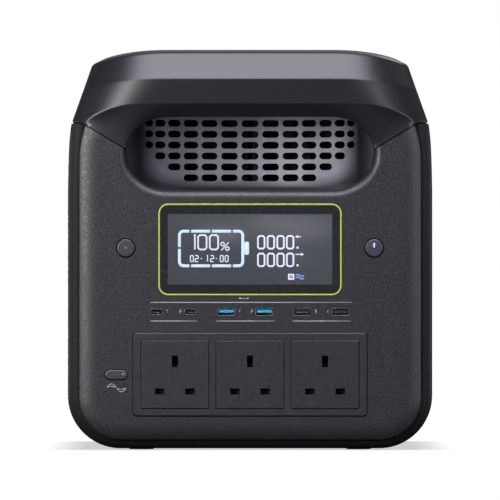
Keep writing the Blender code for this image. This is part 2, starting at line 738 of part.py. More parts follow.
def dc_jacks():
    for index, x in enumerate(DC_JACK_X, 1):
        name = f"dc_jack_{index}"
        centre = (x, REAR_ROW_Z)
        jack = flanged(name, circle(centre, 7 * MM, 24), circle(centre, 5.2 * MM, 20), 14 * MM)
        cut(jack, plate(name + "_bore", [circle(centre, 3.2 * MM, 20)], PANEL_Y + 10 * MM, PANEL_Y - 10 * MM))
        unite(jack, drum(name + "_pin", (x, PANEL_Y - 6 * MM, REAR_ROW_Z), 1.05 * MM, 12 * MM, "Y", 10))
        keep(jack, "port_black")


def pin_inlet(name, centre, flange_half, barrel_half, mouth_half, pins):
    """A male inlet: a recess in a flanged body, with blades standing on its floor."""
    flange_line = rounded(centre, flange_half, 2.5 * MM, 3)
    inlet = flanged(name, flange_line, rounded(centre, barrel_half, 1.5 * MM, 2), 22 * MM)
    floor_y = PANEL_Y - 16 * MM
    mouth = rounded(centre, mouth_half, 1.5 * MM, 2)
    cut(inlet, plate(name + "_mouth", [mouth], floor_y, PANEL_Y + 10 * MM))
    blades = []
    for x, z, half in pins:
        low = (centre[0] + x - half[0], floor_y - 1 * MM, centre[1] + z - half[1])
        high = (centre[0] + x + half[0], PANEL_Y - 3.5 * MM, centre[1] + z + half[1])
        blades.append(block("blade", low, high))
    unite(inlet, merged(name + "_blades", blades))
    keep(inlet, "port_black")


def rear_inlets():
    blade = (1 * MM, 2 * MM)
    mains_pins = [(-7 * MM, -2 * MM, blade), (7 * MM, -2 * MM, blade), (0, 2 * MM, blade)]
    mains = (AC_INLET_X, INLET_ROW_Z)
    pin_inlet(
        "ac_inlet", mains, (20 * MM, 14 * MM), (14.5 * MM, 10.5 * MM), (12.3 * MM, 8.4 * MM), mains_pins
    )
    post = (1.8 * MM, 1.8 * MM)
    solar_pins = [(-4.5 * MM, 0, post), (4.5 * MM, 0, post)]
    solar = (SOLAR_X, REAR_ROW_Z)
    pin_inlet("solar_inlet", solar, (17 * MM, 12 * MM), (13 * MM, 8 * MM), (10 * MM, 5 * MM), solar_pins)


def breaker():
    centre = (BREAKER_X, INLET_ROW_Z)
    body = flanged("breaker_body", circle(centre, 10 * MM, 24), circle(centre, 7 * MM, 24), 16 * MM)
    case_low = (BREAKER_X - 9 * MM, PANEL_Y - 38 * MM, INLET_ROW_Z - 12 * MM)
    case_high = (BREAKER_X + 9 * MM, PANEL_Y - 12 * MM, INLET_ROW_Z + 12 * MM)
    unite(body, block("breaker_case", case_low, case_high))
    cut(body, plate("breaker_bore", [circle(centre, 4.5 * MM, 20)], PANEL_Y - 10 * MM, PANEL_Y + 10 * MM))
    keep(body, "port_black")
    button = plate("breaker_reset_button", [circle(centre, 4.1 * MM, 20)], PANEL_Y - 6 * MM, PANEL_Y + 5 * MM)
    pivot_at(button, (BREAKER_X, PANEL_Y, INLET_ROW_Z))
    keep(button, "reset_red")


# ---------------------------------------------------------------- inside


def fan(index, side, x):
    near_y, far_y = side * FAN_Y, side * (FAN_Y + FAN_DEPTH)
    centre_y = (near_y + far_y) / 2
    low_y, high_y = sorted((near_y, far_y))
    low = (x - FAN_HALF, low_y, FAN_Z - FAN_HALF)
    high = (x + FAN_HALF, high_y, FAN_Z + FAN_HALF)
    frame = block(f"fan_frame_{index}", low, high)
    cut(frame, drum(f"fan_bore_{index}", (x, centre_y, FAN_Z), 28 * MM, 40 * MM, "Y", 28))
    spider_y = near_y + side * 1.5 * MM
    hub = Vector((x, spider_y, FAN_Z))
    level = Vector((29, 1, 1.5)) * MM
    upright = Vector((1.5, 1.1, 29)) * MM
    spoke = block(f"fan_spoke_{index}", hub - level, hub + level)
    stay = block(f"fan_stay_{index}", hub - upright, hub + upright)
    boss = drum(f"fan_boss_{index}", hub, 12 * MM, 2.4 * MM, "Y", 20)
    unite(frame, spoke, stay, boss)
    keep(frame, "port_black")
    rotor_y = centre_y + side * 1.5 * MM
    rotor = drum(f"fan_rotor_{index}", (x, rotor_y, FAN_Z), 13 * MM, 18 * MM, "Y", 20)
    blades = [fan_blade((x, rotor_y, FAN_Z), k) for k in range(FAN_BLADES)]
    unite(rotor, merged(f"fan_blades_{index}", blades))
    pivot_at(rotor, (x, rotor_y, FAN_Z))
    keep(rotor, "port_black")


def fan_blade(centre, index):
    blade = block("blade", (12 * MM, -8 * MM, -0.6 * MM), (26.5 * MM, 8 * MM, 0.6 * MM))
    pitch = Matrix.Rotation(math.radians(50), 4, "X")
    around = Matrix.Rotation(2 * math.pi * index / FAN_BLADES, 4, "Y")
    blade.data.transform(Matrix.Translation(centre) @ around @ pitch)
    return blade


def fans():
    places = [(side, x) for side in (-1, 1) for x in (-FAN_X, FAN_X)]
    for index, (side, x) in enumerate(places, 1):
        fan(index, side, x)


def battery():
    floor_z = 7 * MM
    for index, side in enumerate((-1, 1), 1):
        inner, outer = sorted((side * 1 * MM, side * (PACK_WIDTH + 1 * MM)))
        low = (inner, -PACK_HALF_Y, floor_z)
        keep(block(f"battery_pack_{index}", low, (outer, PACK_HALF_Y, PACK_TOP_Z)), "cell_wrap")
    low = (-50 * MM, -60 * MM, PACK_TOP_Z + GAP)
    keep(block("bms_board", low, (50 * MM, 60 * MM, PACK_TOP_Z + 2 * MM)), "circuit_board")


def chassis():
    """An inverted channel over the battery, which carries the power electronics."""
    foot_z = 10 * MM
    inner = CHASSIS_X - 2 * MM
    right = [(CHASSIS_X, CHASSIS_Z), (CHASSIS_X, foot_z), (inner, foot_z), (inner, CHASSIS_Z - 2 * MM)]
    outline = right + [(-x, z) for x, z in reversed(right)]
    keep(plate("chassis_frame", [outline], -128 * MM, 128 * MM), "aluminium")


def heatsink():
    """A finned block standing on the inverter board, with its fins along the air flow."""
    low_z = BOARD_Z + 2 * MM + GAP
    foot_z = low_z + 5 * MM
    half = 45 * MM
    fins = 10
    pitch = 2 * half / (2 * fins - 1)
    outline = [(half, low_z), (-half, low_z)]
    for fin in range(fins):
        left = -half + 2 * fin * pitch
        outline += [(left, HEATSINK_TOP_Z), (left + pitch, HEATSINK_TOP_Z)]
        if fin < fins - 1:
            outline += [(left + pitch, foot_z), (left + 2 * pitch, foot_z)]
    keep(plate("heatsink", [outline], -70 * MM, 70 * MM), "aluminium")


def air_duct():
    """A floor under the four fans, and a wall between the front pair and the rear pair."""
    low_z, high_z = DUCT_FLOOR_Z
    duct = block("air_duct", (-66 * MM, -106 * MM, low_z), (66 * MM, 106 * MM, high_z))
    wall = block("duct_wall", (-100 * MM, -1.5 * MM, low_z), (100 * MM, 1.5 * MM, 280 * MM))
    unite(duct, wall)
    keep(duct, "port_black")


def electronics():
    low = (-108 * MM, -78 * MM, BOARD_Z)
    keep(block("inverter_board", low, (108 * MM, 78 * MM, BOARD_Z + 2 * MM)), "circuit_board")
    middle = (-78 * MM, 0, BOARD_Z + 20 * MM + GAP)
    coil = drum("transformer", middle, 24 * MM, 36 * MM, "Z", 28)
    cut(coil, drum("transformer_eye", middle, 9 * MM, 60 * MM, "Z", 20))
    keep(coil, "core")
    low = (114 * MM, -70 * MM, 130 * MM)
    keep(block("charger_board", low, (116 * MM, 70 * MM, 185 * MM)), "circuit_board")
    heatsink()


def busbars():
    """Two bent copper straps from the packs up to the inverter board's front edge."""
    foot_z = PACK_TOP_Z + GAP
    outer_y, inner_y, end_y = -138 * MM, -136 * MM, -74 * MM
    low_z, high_z = BOARD_Z + 2 * MM + GAP, BOARD_Z + 4 * MM
    outline = [(outer_y, foot_z), (outer_y, high_z), (end_y, high_z)]
    outline += [(end_y, low_z), (inner_y, low_z), (inner_y, foot_z)]
    for name, x in (("busbar_positive", 60 * MM), ("busbar_negative", -72 * MM)):
        keep(plate(name, [outline], x, x + 12 * MM, "X"), "copper")


def wiring_loom():
    """The sleeved bundle from the inverter board to the port board."""
    start = Vector((30 * MM, -78.5 * MM, BOARD_Z + 8 * MM))
    end = Vector((30 * MM, -165.5 * MM, 105 * MM))
    middle = (start + end) / 2 + Vector((0, 0, 22 * MM))
    curve = bpy.data.curves.new("wiring_loom", "CURVE")
    curve.dimensions = "3D"
    curve.bevel_depth = 3 * MM
    curve.bevel_resolution = 2
    curve.use_fill_caps = True
    steps = 10
    spline = curve.splines.new("POLY")
    spline.points.add(steps)
    for k, point in enumerate(spline.points):
        t = k / steps
        place = start * (1 - t) ** 2 + middle * 2 * t * (1 - t) + end * t**2
        point.co = (*place, 1.0)
    keep(object_from("wiring_loom", mesh_from("wiring_loom", mesh_of_curve(curve))), "rubber")


# ---------------------------------------------------------------- assembly


base_tray()
feet()
side_covers()
top_cover()
end_panel("front_panel", -1, front_holes())
end_panel("rear_panel", 1, rear_holes())
grille("front_grille", -1)
grille("rear_grille", 1)
display()
front_buttons()
usb_ports()
outlet_frame()
for number, module_x in enumerate(MODULE_X, 1):
    socket_module(number, module_x)
car_socket()
car_socket_cap()
dc_jacks()
rear_inlets()
breaker()
fans()
battery()
chassis()
electronics()
air_duct()
busbars()
wiring_loom()
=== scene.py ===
"""The power station's visual model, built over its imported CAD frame.

Shapes are written in millimetres and become metres where their mesh is made. The front faces -Y.
"""

import math

import bmesh
import bpy
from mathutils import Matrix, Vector


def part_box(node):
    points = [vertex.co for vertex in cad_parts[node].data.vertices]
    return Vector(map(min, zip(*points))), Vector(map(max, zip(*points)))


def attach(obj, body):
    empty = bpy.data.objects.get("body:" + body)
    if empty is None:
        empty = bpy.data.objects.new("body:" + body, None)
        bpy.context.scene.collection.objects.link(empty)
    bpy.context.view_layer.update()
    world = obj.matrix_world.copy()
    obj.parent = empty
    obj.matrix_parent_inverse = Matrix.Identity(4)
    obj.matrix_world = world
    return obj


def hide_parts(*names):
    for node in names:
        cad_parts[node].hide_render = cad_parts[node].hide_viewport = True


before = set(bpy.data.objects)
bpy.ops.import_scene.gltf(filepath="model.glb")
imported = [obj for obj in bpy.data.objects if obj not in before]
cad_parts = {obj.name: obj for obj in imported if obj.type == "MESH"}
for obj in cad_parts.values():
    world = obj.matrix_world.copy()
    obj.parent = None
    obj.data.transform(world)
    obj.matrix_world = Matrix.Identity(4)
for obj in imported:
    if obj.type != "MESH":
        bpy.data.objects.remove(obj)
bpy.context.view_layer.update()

MM = 0.001
WELD = 0.002 * MM

# The casing, as in the CAD.
FACE_Y = -184.0
PANEL_HALF = 125.3
PANEL_LOW = 7.4
PANEL_RADIUS = 30.3
PANEL_TOP_Z = 238.6
BODY_HALF = 134.0
BODY_LOW = 1.0
BODY_RADIUS = 39.0
BASE_SEAM_Z = 38.2
BASE_SEAM_HALF_GAP = 0.15
COVER_SEAM_Z = 240.0

# The drawn skins' walls and the rounding of their edges.
SKIN_WALL = 2.4
SKIN_ROUND = 0.3
LINER_WALL = 2.0

# The end panel's edge: how far it curves back, and how it draws in towards its top corners.
CROWN_WIDTH = 16.0
CROWN_DEPTH = 2.9
CROWN_WALL = 4.1
CROWN_POWER = 3
DRAW_IN = 4.1
DRAW_IN_FROM_Z = 212.0
DRAW_IN_HEIGHT = 27.0

# The rounded end of the base and the side covers.
SHELL_Y = 178.0
SHELL_ROUND = 8.0
SHELL_LIP = 8.4
SHELL_LIP_BACK = 5.0
PANEL_GAP = 0.3

# The slanting seam between an end panel and the top cover, and the black strips behind it that paint shade
# into its gap.
SEAM_START_X, SEAM_START_Z = 92.5, 221.7
COVER_SEAM_X, SEAM_END_Z = 122.5, 239.5
SEAM_SLOPE = (SEAM_END_Z - SEAM_START_Z) / (COVER_SEAM_X - SEAM_START_X)
SEAM_GAP = 0.5
BACKING_WALL = 1.5
BACKING_DEPTH = 1.2
BACKING_HALF = (1.4, 2.4)

# The pocket: half ellipses at its ends.
END_X, END_Z = 31.0, 26.9
END_AT = 60.0
MOUTH_Z = 217.7
ROOF_Z = 231.1
RIM_ROUND = 6.0
RIM_BACK = 1.6
BROW_BACK = 8.0
POCKET_FILLET = 6.0
CHEEK_REACH = 10.0
CHEEK_INSET = 2.5
CHEEK_GAP = 0.3
# Where the grille's painted shade begins to turn round the pocket's ends, and how fast.
POCKET_FLAT = 45.0
POCKET_END_SHARE = 0.58

# The grille: a wall curved about an upright axis near the front, and the degrees between its columns.
GRILLE_RADIUS = 83.0
GRILLE_AXIS_Y = 193.0
GRILLE_STEP = 10.6
GRILLE_END = 6
SLOT_HALF = (6.2, 2.45)
SLOT_PITCH = 8.05
SLOT_FIRST_Z = 200.2
SLOTS_EACH_SIDE = (3, 4, 5, 6, 6, 6, 5)

# The top cover's rings, lowest first: half sizes, corner, height at the middle and sides, its fall.
COVER_RINGS = (
    (130.6, 184, (24, 9), 244.6, 238.5, (92, 122, 1.5)),
    (131, 191.5, (56, 22), 254.2, 239.8, (75, 124, 2.3)),
    (122.6, 193, (60, 40), 272.3, 265, (70, 122, 2)),
    (116.3, 181.5, (54, 40), 292.4, 283.5, (63, 116, 2.2)),
    (106, 176, (46, 36), 293.8, 288.5, (63, 106, 2.2)),
    (62, 168, (20, 20), 294, 294, (0, 1, 1)),
)
COVER_ROUNDS = (2.2, 3.0, 6.0, 7.0)
ROUND_STEPS = 4
# Where the cover's corner passes the seam: its turn, and the height at which its edge is narrowest.
SEAM_TURN = math.radians(32)
SEAM_EDGE_Z = 237
# From where on the brow's crease is drawn down to the seam, and its undercut comes flush with the panel.
CREASE_FROM_X = 118
FLUSH_FROM_X = 108

# The display: its ring, the lit glass and the layer of its segments.
RING_WIDTH, RING_RADIUS = 1.1, 7.3
LCD_LOW, LCD_HIGH = (-60.3, 121.7), (60.2, 173.3)
LIT_Y = FACE_Y - 0.06

# The holes in the end panels, and how far they stand off what they hold.
HOLE_GAP = 0.3
KEY_GAP = 0.8
PORT_GAP = 0.25
SOCKET_FRAME_HALF = (86.2, 30.7)
SOCKET_FRAME_RADIUS = 3.0
CAR_SOCKET_Z = 130.0

# Depths of the keys, the printed marks and the ports' shells.
KEY_TOP = FACE_Y - 0.6
KEY_ROOT = FACE_Y + 6
PRINT_Y = FACE_Y - 0.03
MARK_DEPTH = 0.06
PORT_FRONT = FACE_Y + 0.1
PORT_DEPTH = 12.0
PORT_WALL = 0.4

# Noise scales, per metre, and the ranges in which an edge counts as worn and a face as facing up.
CLOUD_SCALE = 14
WEAR_PATCH_SCALE = 220
LIT_CLOUD_SCALE = 40
PAPER_SCALE = 60
WORN_POINTINESS = (0.515, 0.60)
FACING_UP = (0.75, 0.96)
LIT_SPREAD = 0.03

# The studio, in metres and watts, and its floor in millimetres: a camera far in front, and softboxes
# with their place, size, power, what each is aimed at and its colour.
CAMERA_AWAY = 8.0
CAMERA_HEIGHT = 0.1468
FRAME_WIDTH = 0.367
SENSOR_WIDTH = 36
FLOOR_REACH = 30000
ROOM_LIGHT = 0.02
COOL = (0.96, 0.94, 1.06)
PLAIN = (1, 1, 1)
SOFTBOXES = (
    ("key_above", (0.0, -0.80, 1.25), (1.5, 0.9), 36, (0, -0.18, 0.25), COOL),
    ("left_side", (-0.66, -0.72, 0.34), (0.35, 0.4), 3.2, (-0.1, -0.18, 0.18), PLAIN),
    ("right_side", (0.84, -0.88, 0.22), (0.5, 0.42), 1.2, (0.1, -0.18, 0.18), PLAIN),
    ("front_left", (-0.95, -1.40, 0.44), (0.5, 0.6), 14, (0, -0.18, 0.18), PLAIN),
    ("front_right", (1.02, -1.30, 0.44), (0.45, 0.6), 4, (0, -0.18, 0.18), COOL),
    ("beside_left", (-1.5, 0.25, 0.15), (0.9, 0.5), 9, (0, 0, 0.15), PLAIN),
    ("beside_right", (1.5, 0.25, 0.15), (0.9, 0.5), 9, (0, 0, 0.15), PLAIN),
    ("rear_above", (0.3, 1.3, 1.5), (1.6, 0.9), 24, (0, 0, 0.2), PLAIN),
    ("rear_low", (-0.5, 1.8, 0.12), (1.2, 0.3), 15, (0, 0, 0.15), PLAIN),
)


# ---- lines


def mix(a, b, share):
    return a + (b - a) * share


def held(value, low=0.0, high=1.0):
    """The value kept between two limits."""
    return min(max(value, low), high)


def bend(start, control, end, steps):
    """A curve from start to end that leans towards its control point."""
    shares = [k / steps for k in range(steps + 1)]
    return [start * (1 - t) ** 2 + control * 2 * t * (1 - t) + end * t**2 for t in shares]


def rounded_path(points, radii, steps=ROUND_STEPS):
    """A line with its inner corners rounded. A corner of radius 0 stays one point, so counts match."""
    points = [Vector(p) for p in points]
    last = len(points) - 1
    line = [points[0]]
    for i in range(1, last):
        here, radius = points[i], radii[i - 1]
        if radius == 0:
            line.append(here)
            continue
        back, on = points[i - 1] - here, points[i + 1] - here
        if min(back.length, on.length) < 0.001:
            line += [here.copy() for _ in range(steps + 1)]
            continue
        half_turn = (math.pi - back.angle(on)) / 2
        reach = min(
            radius * math.tan(half_turn),
            back.length * (0.98 if i == 1 else 0.49),
            on.length * (0.98 if i == last - 1 else 0.49),
        )
        start, end = here + back.normalized() * reach, here + on.normalized() * reach
        line += bend(start, here, end, steps)
    line.append(points[last])
    return line


def rounded(centre, half, radius, steps=8):
    """A rectangle in the XZ plane whose corners are quarter circles, anticlockwise."""
    points = []
    for corner, (sx, sz) in enumerate(((1, 1), (-1, 1), (-1, -1), (1, -1))):
        for step in range(steps + 1):
            angle = math.pi / 2 * (corner + step / steps)
            x = centre[0] + sx * (half[0] - radius) + radius * math.cos(angle)
            z = centre[1] + sz * (half[1] - radius) + radius * math.sin(angle)
            points.append((x, z))
    return [p for i, p in enumerate(points) if math.dist(p, points[i - 1]) > 0.001]


def grown(centre, half, radius, grow, steps=8):
    """A rounded rectangle that stands off another one all round."""
    return rounded(centre, (half[0] + grow, half[1] + grow), radius + grow, steps)


def circle(centre, radius, segments=48):
    turns = [2 * math.pi * step / segments for step in range(segments)]
    return [(centre[0] + radius * math.cos(a), centre[1] + radius * math.sin(a)) for a in turns]


def at(outline, y):
    return [(x, y, z) for x, z in outline]


# ---- meshes


class Shape:
    """One mesh being drawn, in millimetres."""

    def __init__(self):
        self.bm = bmesh.new()

    def points(self, line):
        return [self.bm.verts.new(p) for p in line]

    def face(self, line):
        self.bm.faces.new(self.points(line))

    def grid(self, lines, closed=False):
        """Quads between lines of equal count; closed joins the ends of each line."""
        rows = [self.points(line) for line in lines]
        count = len(rows[0])
        for a, b in zip(rows, rows[1:]):
            for i in range(count if closed else count - 1):
                j = (i + 1) % count
                self.bm.faces.new((a[i], a[j], b[j], b[i]))

    def flat(self, loops, y):
        """A face in the plane Y = y with holes: the first loop is its edge."""
        edges = []
        for loop in loops:
            verts = self.points(at(loop, y))
            edges += [self.bm.edges.new((v, verts[i - 1])) for i, v in enumerate(verts)]
        made = bmesh.ops.triangle_fill(self.bm, use_beauty=True, edges=edges, normal=(0, 1, 0))["geom"]
        inner = [e for e in made if isinstance(e, bmesh.types.BMEdge) and len(e.link_faces) == 2]
        bmesh.ops.dissolve_limit(self.bm, angle_limit=0.01, verts=[], edges=inner)

    def mirror_y(self):
        """Turns the shape into its mirror image, for the rear end."""
        for vert in self.bm.verts:
            vert.co.y = -vert.co.y

    def object(self, name, facing=None):
        """The finished object. facing is the way that an open skin's faces look on the whole."""
        bm = self.bm
        bmesh.ops.scale(bm, vec=(MM, MM, MM), verts=bm.verts)
        bmesh.ops.remove_doubles(bm, verts=bm.verts, dist=WELD)
        loose = [v for v in bm.verts if not v.link_faces]
        bmesh.ops.delete(bm, geom=loose, context="VERTS")
        bmesh.ops.recalc_face_normals(bm, faces=bm.faces)
        if facing:
            way = Vector(facing)
            total = sum(f.calc_area() * f.normal.dot(way) for f in bm.faces)
            if total < 0:
                bmesh.ops.reverse_faces(bm, faces=bm.faces)
        for f in bm.faces:
            f.smooth = True
        mesh = bpy.data.meshes.new(name)
        bm.to_mesh(mesh)
        bm.free()
        obj = bpy.data.objects.new(name, mesh)
        bpy.context.scene.collection.objects.link(obj)
        return obj


def mirrored(obj, axes):
    modifier = obj.modifiers.new("mirror", "MIRROR")
    modifier.use_axis = [letter in axes for letter in "XYZ"]
    modifier.use_clip = True
    modifier.merge_threshold = 5 * WELD


def thickened(obj, depth, shade_painted_rim=False):
    """Gives a skin its wall. Its cut rims may take the object's second material, a near black painted shade
    for seams, holes and slots.
    """
    modifier = obj.modifiers.new("wall", "SOLIDIFY")
    modifier.thickness = depth * MM
    modifier.offset = -1
    modifier.use_even_offset = False
    modifier.material_offset_rim = 1 if shade_painted_rim else 0


def softened(obj, width, angle, dark=False):
    """Rounds the edges sharper than an angle. Dark ones take the object's second material, a near black
    painted shade.
    """
    modifier = obj.modifiers.new("edges", "BEVEL")
    modifier.material = 1 if dark else -1
    modifier.width = width * MM
    modifier.segments = 2
    modifier.limit_method = "ANGLE"
    modifier.angle_limit = math.radians(angle)
    modifier.use_clamp_overlap = True
    modifier.harden_normals = False
    normals = obj.modifiers.new("shading", "WEIGHTED_NORMAL")
    normals.keep_sharp = True
    normals.weight = 80


def finished(obj, material, body="casing", stands_for=None, rim=None):
    """Gives a piece its material, the painted shade for its rim if any, its body and the CAD node that it
    takes over.
    """
    obj.data.materials.append(material)
    if rim:
        obj.data.materials.append(rim)
    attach(obj, body)
    if stands_for:
        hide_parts(stands_for)


def prism(name, outline, front, back, holes=()):
    """An outline with holes, extruded along Y."""
    shape = Shape()
    for y in (front, back):
        shape.flat([outline, *holes], y)
    for loop in (outline, *holes):
        shape.grid([at(loop, front), at(loop, back)], closed=True)
    return shape.object(name)


def turned(name, centre, profile):
    """A profile of (radius, y) turned about a line along Y through centre, closed at both ends."""
    shape = Shape()
    shape.grid([at(circle(centre, max(radius, 0.0005), 64), y) for radius, y in profile], closed=True)
    return shape.object(name)


# ---- materials


def add(tree, kind, inputs=None, **settings):
    """A new node. An input takes a number, a colour or another node's output."""
    made = tree.nodes.new("ShaderNode" + kind)
    for key, value in settings.items():
        setattr(made, key, value)
    for key, value in (inputs or {}).items():
        feed(tree, made.inputs[key], value)
    return made


def feed(tree, socket, value):
    if isinstance(value, bpy.types.NodeSocket):
        tree.links.new(value, socket)
    else:
        socket.default_value = (*value, 1) if socket.type == "RGBA" else value


def noise(tree, coords, scale, detail=3.0):
    return add(tree, "TexNoise", {"Vector": coords, "Scale": scale, "Detail": detail}).outputs["Fac"]


def ranged(tree, value, low, high, to_low=0, to_high=1):
    inputs = {"Value": value, "From Min": low, "From Max": high, "To Min": to_low, "To Max": to_high}
    return add(tree, "MapRange", inputs).outputs["Result"]


def worked_out(tree, operation, *values):
    return add(tree, "Math", dict(enumerate(values)), operation=operation).outputs[0]


def blended(tree, share, a, b):
    """A colour between a and b."""
    return add(tree, "Mix", {0: share, 6: a, 7: b}, data_type="RGBA").outputs[2]


def object_place(tree):
    return add(tree, "TexCoord").outputs["Object"]


def scaled(colour, factor, lift=0.0):
    return tuple(c * factor + lift for c in colour)


def across(tree, coords):
    """Distance along X from the middle."""
    return worked_out(tree, "ABSOLUTE", add(tree, "SeparateXYZ", {0: coords}).outputs["X"])


def below_pocket_middle(tree, coords):
    """Distance below the middle of the grille's pocket, growing towards its rounded ends as well."""
    height = add(tree, "SeparateXYZ", {0: coords}).outputs["Z"]
    past_flat = worked_out(tree, "SUBTRACT", across(tree, coords), POCKET_FLAT * MM)
    side = worked_out(tree, "MULTIPLY", worked_out(tree, "MAXIMUM", past_flat, 0), POCKET_END_SHARE)
    low = worked_out(tree, "MULTIPLY", worked_out(tree, "SUBTRACT", height, MOUTH_Z * MM), -1)
    low = worked_out(tree, "MAXIMUM", low, 0)
    squares = [worked_out(tree, "POWER", length, 2) for length in (side, low)]
    return worked_out(tree, "SQRT", worked_out(tree, "ADD", *squares))


def surface(
    name, colour, roughness, grain=0.5, height=0.02, mottle=0.12, wear=0.5,
    metallic=0.0, coat=0.0, spread=0.07, specular=0.5, shade_fades=(),
):
    """A moulded or worked surface: fine grain in millimetres, cloudy tone, uneven gloss, paler worn edges.

    A fade is a second colour that the surface turns to, between two values of some distance; the grille's
    fades paint shade.
    """
    material = bpy.data.materials.new(name)
    material.use_nodes = True
    tree = material.node_tree
    coords = object_place(tree)
    cloud = ranged(tree, noise(tree, coords, CLOUD_SCALE), 0.3, 0.7)
    tone = blended(tree, cloud, scaled(colour, 1 - mottle), scaled(colour, 1 + mottle))
    specks = ranged(tree, noise(tree, coords, 1000 / (grain * 1.7), 2), 0.35, 0.75)
    tone = blended(tree, specks, tone, scaled(colour, 1 + 2.2 * mottle, 0.002))
    edge = ranged(tree, add(tree, "NewGeometry").outputs["Pointiness"], *WORN_POINTINESS, 0, wear)
    patches = ranged(tree, noise(tree, coords, WEAR_PATCH_SCALE), 0.35, 0.65, 0.2, 1)
    tone = blended(tree, worked_out(tree, "MULTIPLY", edge, patches), tone, scaled(colour, 1.6, 0.012))
    for distance, to_colour, near, far in shade_fades:
        tone = blended(tree, ranged(tree, distance(tree, coords), near * MM, far * MM), tone, to_colour)
    uneven = noise(tree, coords, 1000 / (grain * 1.3), 2)
    relief = noise(tree, coords, 1000 / grain, 2)
    bump = add(tree, "Bump", {"Height": relief, "Distance": height * MM, "Strength": 1.0})
    looks = {
        "Base Color": tone,
        "Metallic": metallic,
        "Roughness": ranged(tree, uneven, 0.3, 0.7, roughness - spread, roughness + spread),
        "Specular IOR Level": specular,
        "Coat Weight": coat,
        "Normal": bump.outputs["Normal"],
    }
    for key, value in looks.items():
        feed(tree, tree.nodes["Principled BSDF"].inputs[key], value)
    return material


def dulled_on_top(material):
    """Makes a material coarser and duller where it faces up, as the lid's flat is."""
    tree = material.node_tree
    shader = tree.nodes["Principled BSDF"]
    up = add(tree, "SeparateXYZ", {0: add(tree, "NewGeometry").outputs["Normal"]}).outputs["Z"]
    feed(tree, shader.inputs["Specular IOR Level"], ranged(tree, up, *FACING_UP, 0.5, 0.06))
    roughness = shader.inputs["Roughness"].links[0].from_socket
    coarser = ranged(tree, up, *FACING_UP, 0, 0.28)
    feed(tree, shader.inputs["Roughness"], worked_out(tree, "ADD", roughness, coarser))


def glowing(name, colour, strength, base=(0.02, 0.02, 0.02), roughness=0.3, specular=0.3):
    """A lit surface with a slight cloudiness in its light."""
    material = surface(name, base, roughness, grain=0.8, height=0.002, wear=0, specular=specular)
    tree = material.node_tree
    shader = tree.nodes["Principled BSDF"]
    cloud = ranged(tree, noise(tree, object_place(tree), LIT_CLOUD_SCALE), 0.3, 0.7)
    light = blended(tree, cloud, scaled(colour, 1 - LIT_SPREAD), scaled(colour, 1 + LIT_SPREAD))
    feed(tree, shader.inputs["Emission Color"], light)
    feed(tree, shader.inputs["Emission Strength"], strength)
    return material


GRAINED = surface(
    "grained_shell", (0.0080, 0.0076, 0.0095), 0.46,
    grain=1.4, height=0.10, mottle=0.10, spread=0.09, wear=0.1,
)
SATIN = surface(
    "satin_shell", (0.0060, 0.0060, 0.0078), 0.37,
    grain=0.6, height=0.004, mottle=0.05, spread=0.015, wear=0.1,
)
dulled_on_top(SATIN)
SIDE = surface(
    "side_shell", (0.0095, 0.0095, 0.0110), 0.50,
    grain=0.9, height=0.040, mottle=0.1, spread=0.03, specular=0.07, wear=0.1,
)
# Near black painted shade: for seam gaps, the strips behind them, cut rims, slot walls and dark rounded
# edges.
SEAM = surface("seam_shadow", (0.001, 0.001, 0.001), 0.7, height=0.004, specular=0.1, wear=0)
# Painted shade: the grille darkens low in the pocket and round the pocket's ends, and turns near black
# towards the cheeks.
GRILLE = surface(
    "grille_plastic", (0.28, 0.262, 0.31), 0.45,
    grain=0.6, height=0.004, mottle=0.04, spread=0.02, specular=0.3,
    shade_fades=((below_pocket_middle, (0.045, 0.042, 0.052), 16.5, 25), (across, (0.005, 0.005, 0.006), 64, 80)),
)
SOCKET = surface(
    "socket_plastic", (0.0095, 0.0090, 0.0112), 0.44,
    grain=1.4, height=0.10, mottle=0.05, spread=0.07, wear=0.2,
)
SHUTTER = surface("shutter_plastic", (0.0025, 0.0025, 0.003), 0.6, height=0.010, specular=0.15, wear=0.2)
BEZEL = surface("window_border", (0.012, 0.012, 0.014), 0.16, grain=2.0, height=0.002, wear=0.2, spread=0.03)
KEY = surface("key_cap", (0.026, 0.026, 0.031), 0.38, height=0.006, mottle=0.05, spread=0.02, wear=0.2)
PRINT = surface("printed_marks", (0.22, 0.22, 0.24), 0.55, grain=0.3, height=0.004, wear=0)
PORT_BLACK = surface("port_black", (0.007, 0.007, 0.008), 0.42, grain=0.4, height=0.008)
PORT_BLUE = surface("port_blue", (0.008, 0.24, 0.46), 0.42, grain=0.4, height=0.006, wear=0.2)
STEEL = surface("port_steel", (0.20, 0.20, 0.21), 0.36, grain=0.25, height=0.006, metallic=1, wear=0.3)
CONTACT = surface("contact_gold", (0.72, 0.50, 0.20), 0.28, grain=0.3, height=0.003, metallic=1, wear=0.1)
INNER_BLACK = surface("inner_black", (0.003, 0.003, 0.003), 0.6, height=0.010, specular=0.15, wear=0.2)
RUBBER = surface("rubber", (0.014, 0.014, 0.014), 0.78, grain=0.7, height=0.040, mottle=0.18)
RESET = surface("reset_red", (0.46, 0.028, 0.018), 0.36, grain=0.4, height=0.008)
WRAP = surface("cell_wrap", (0.045, 0.100, 0.250), 0.40, grain=1.4, height=0.050, mottle=0.15)
BOARD = surface("circuit_board", (0.012, 0.105, 0.045), 0.34, grain=0.8, mottle=0.20, coat=0.3)
METAL = surface("aluminium", (0.56, 0.57, 0.58), 0.38, grain=0.3, height=0.008, metallic=1, wear=0.2)
COPPER = surface("copper", (0.68, 0.31, 0.16), 0.33, grain=0.3, height=0.008, metallic=1, wear=0.2)
CORE = surface("taped_winding", (0.110, 0.080, 0.042), 0.55, grain=1.2, height=0.080, mottle=0.22)

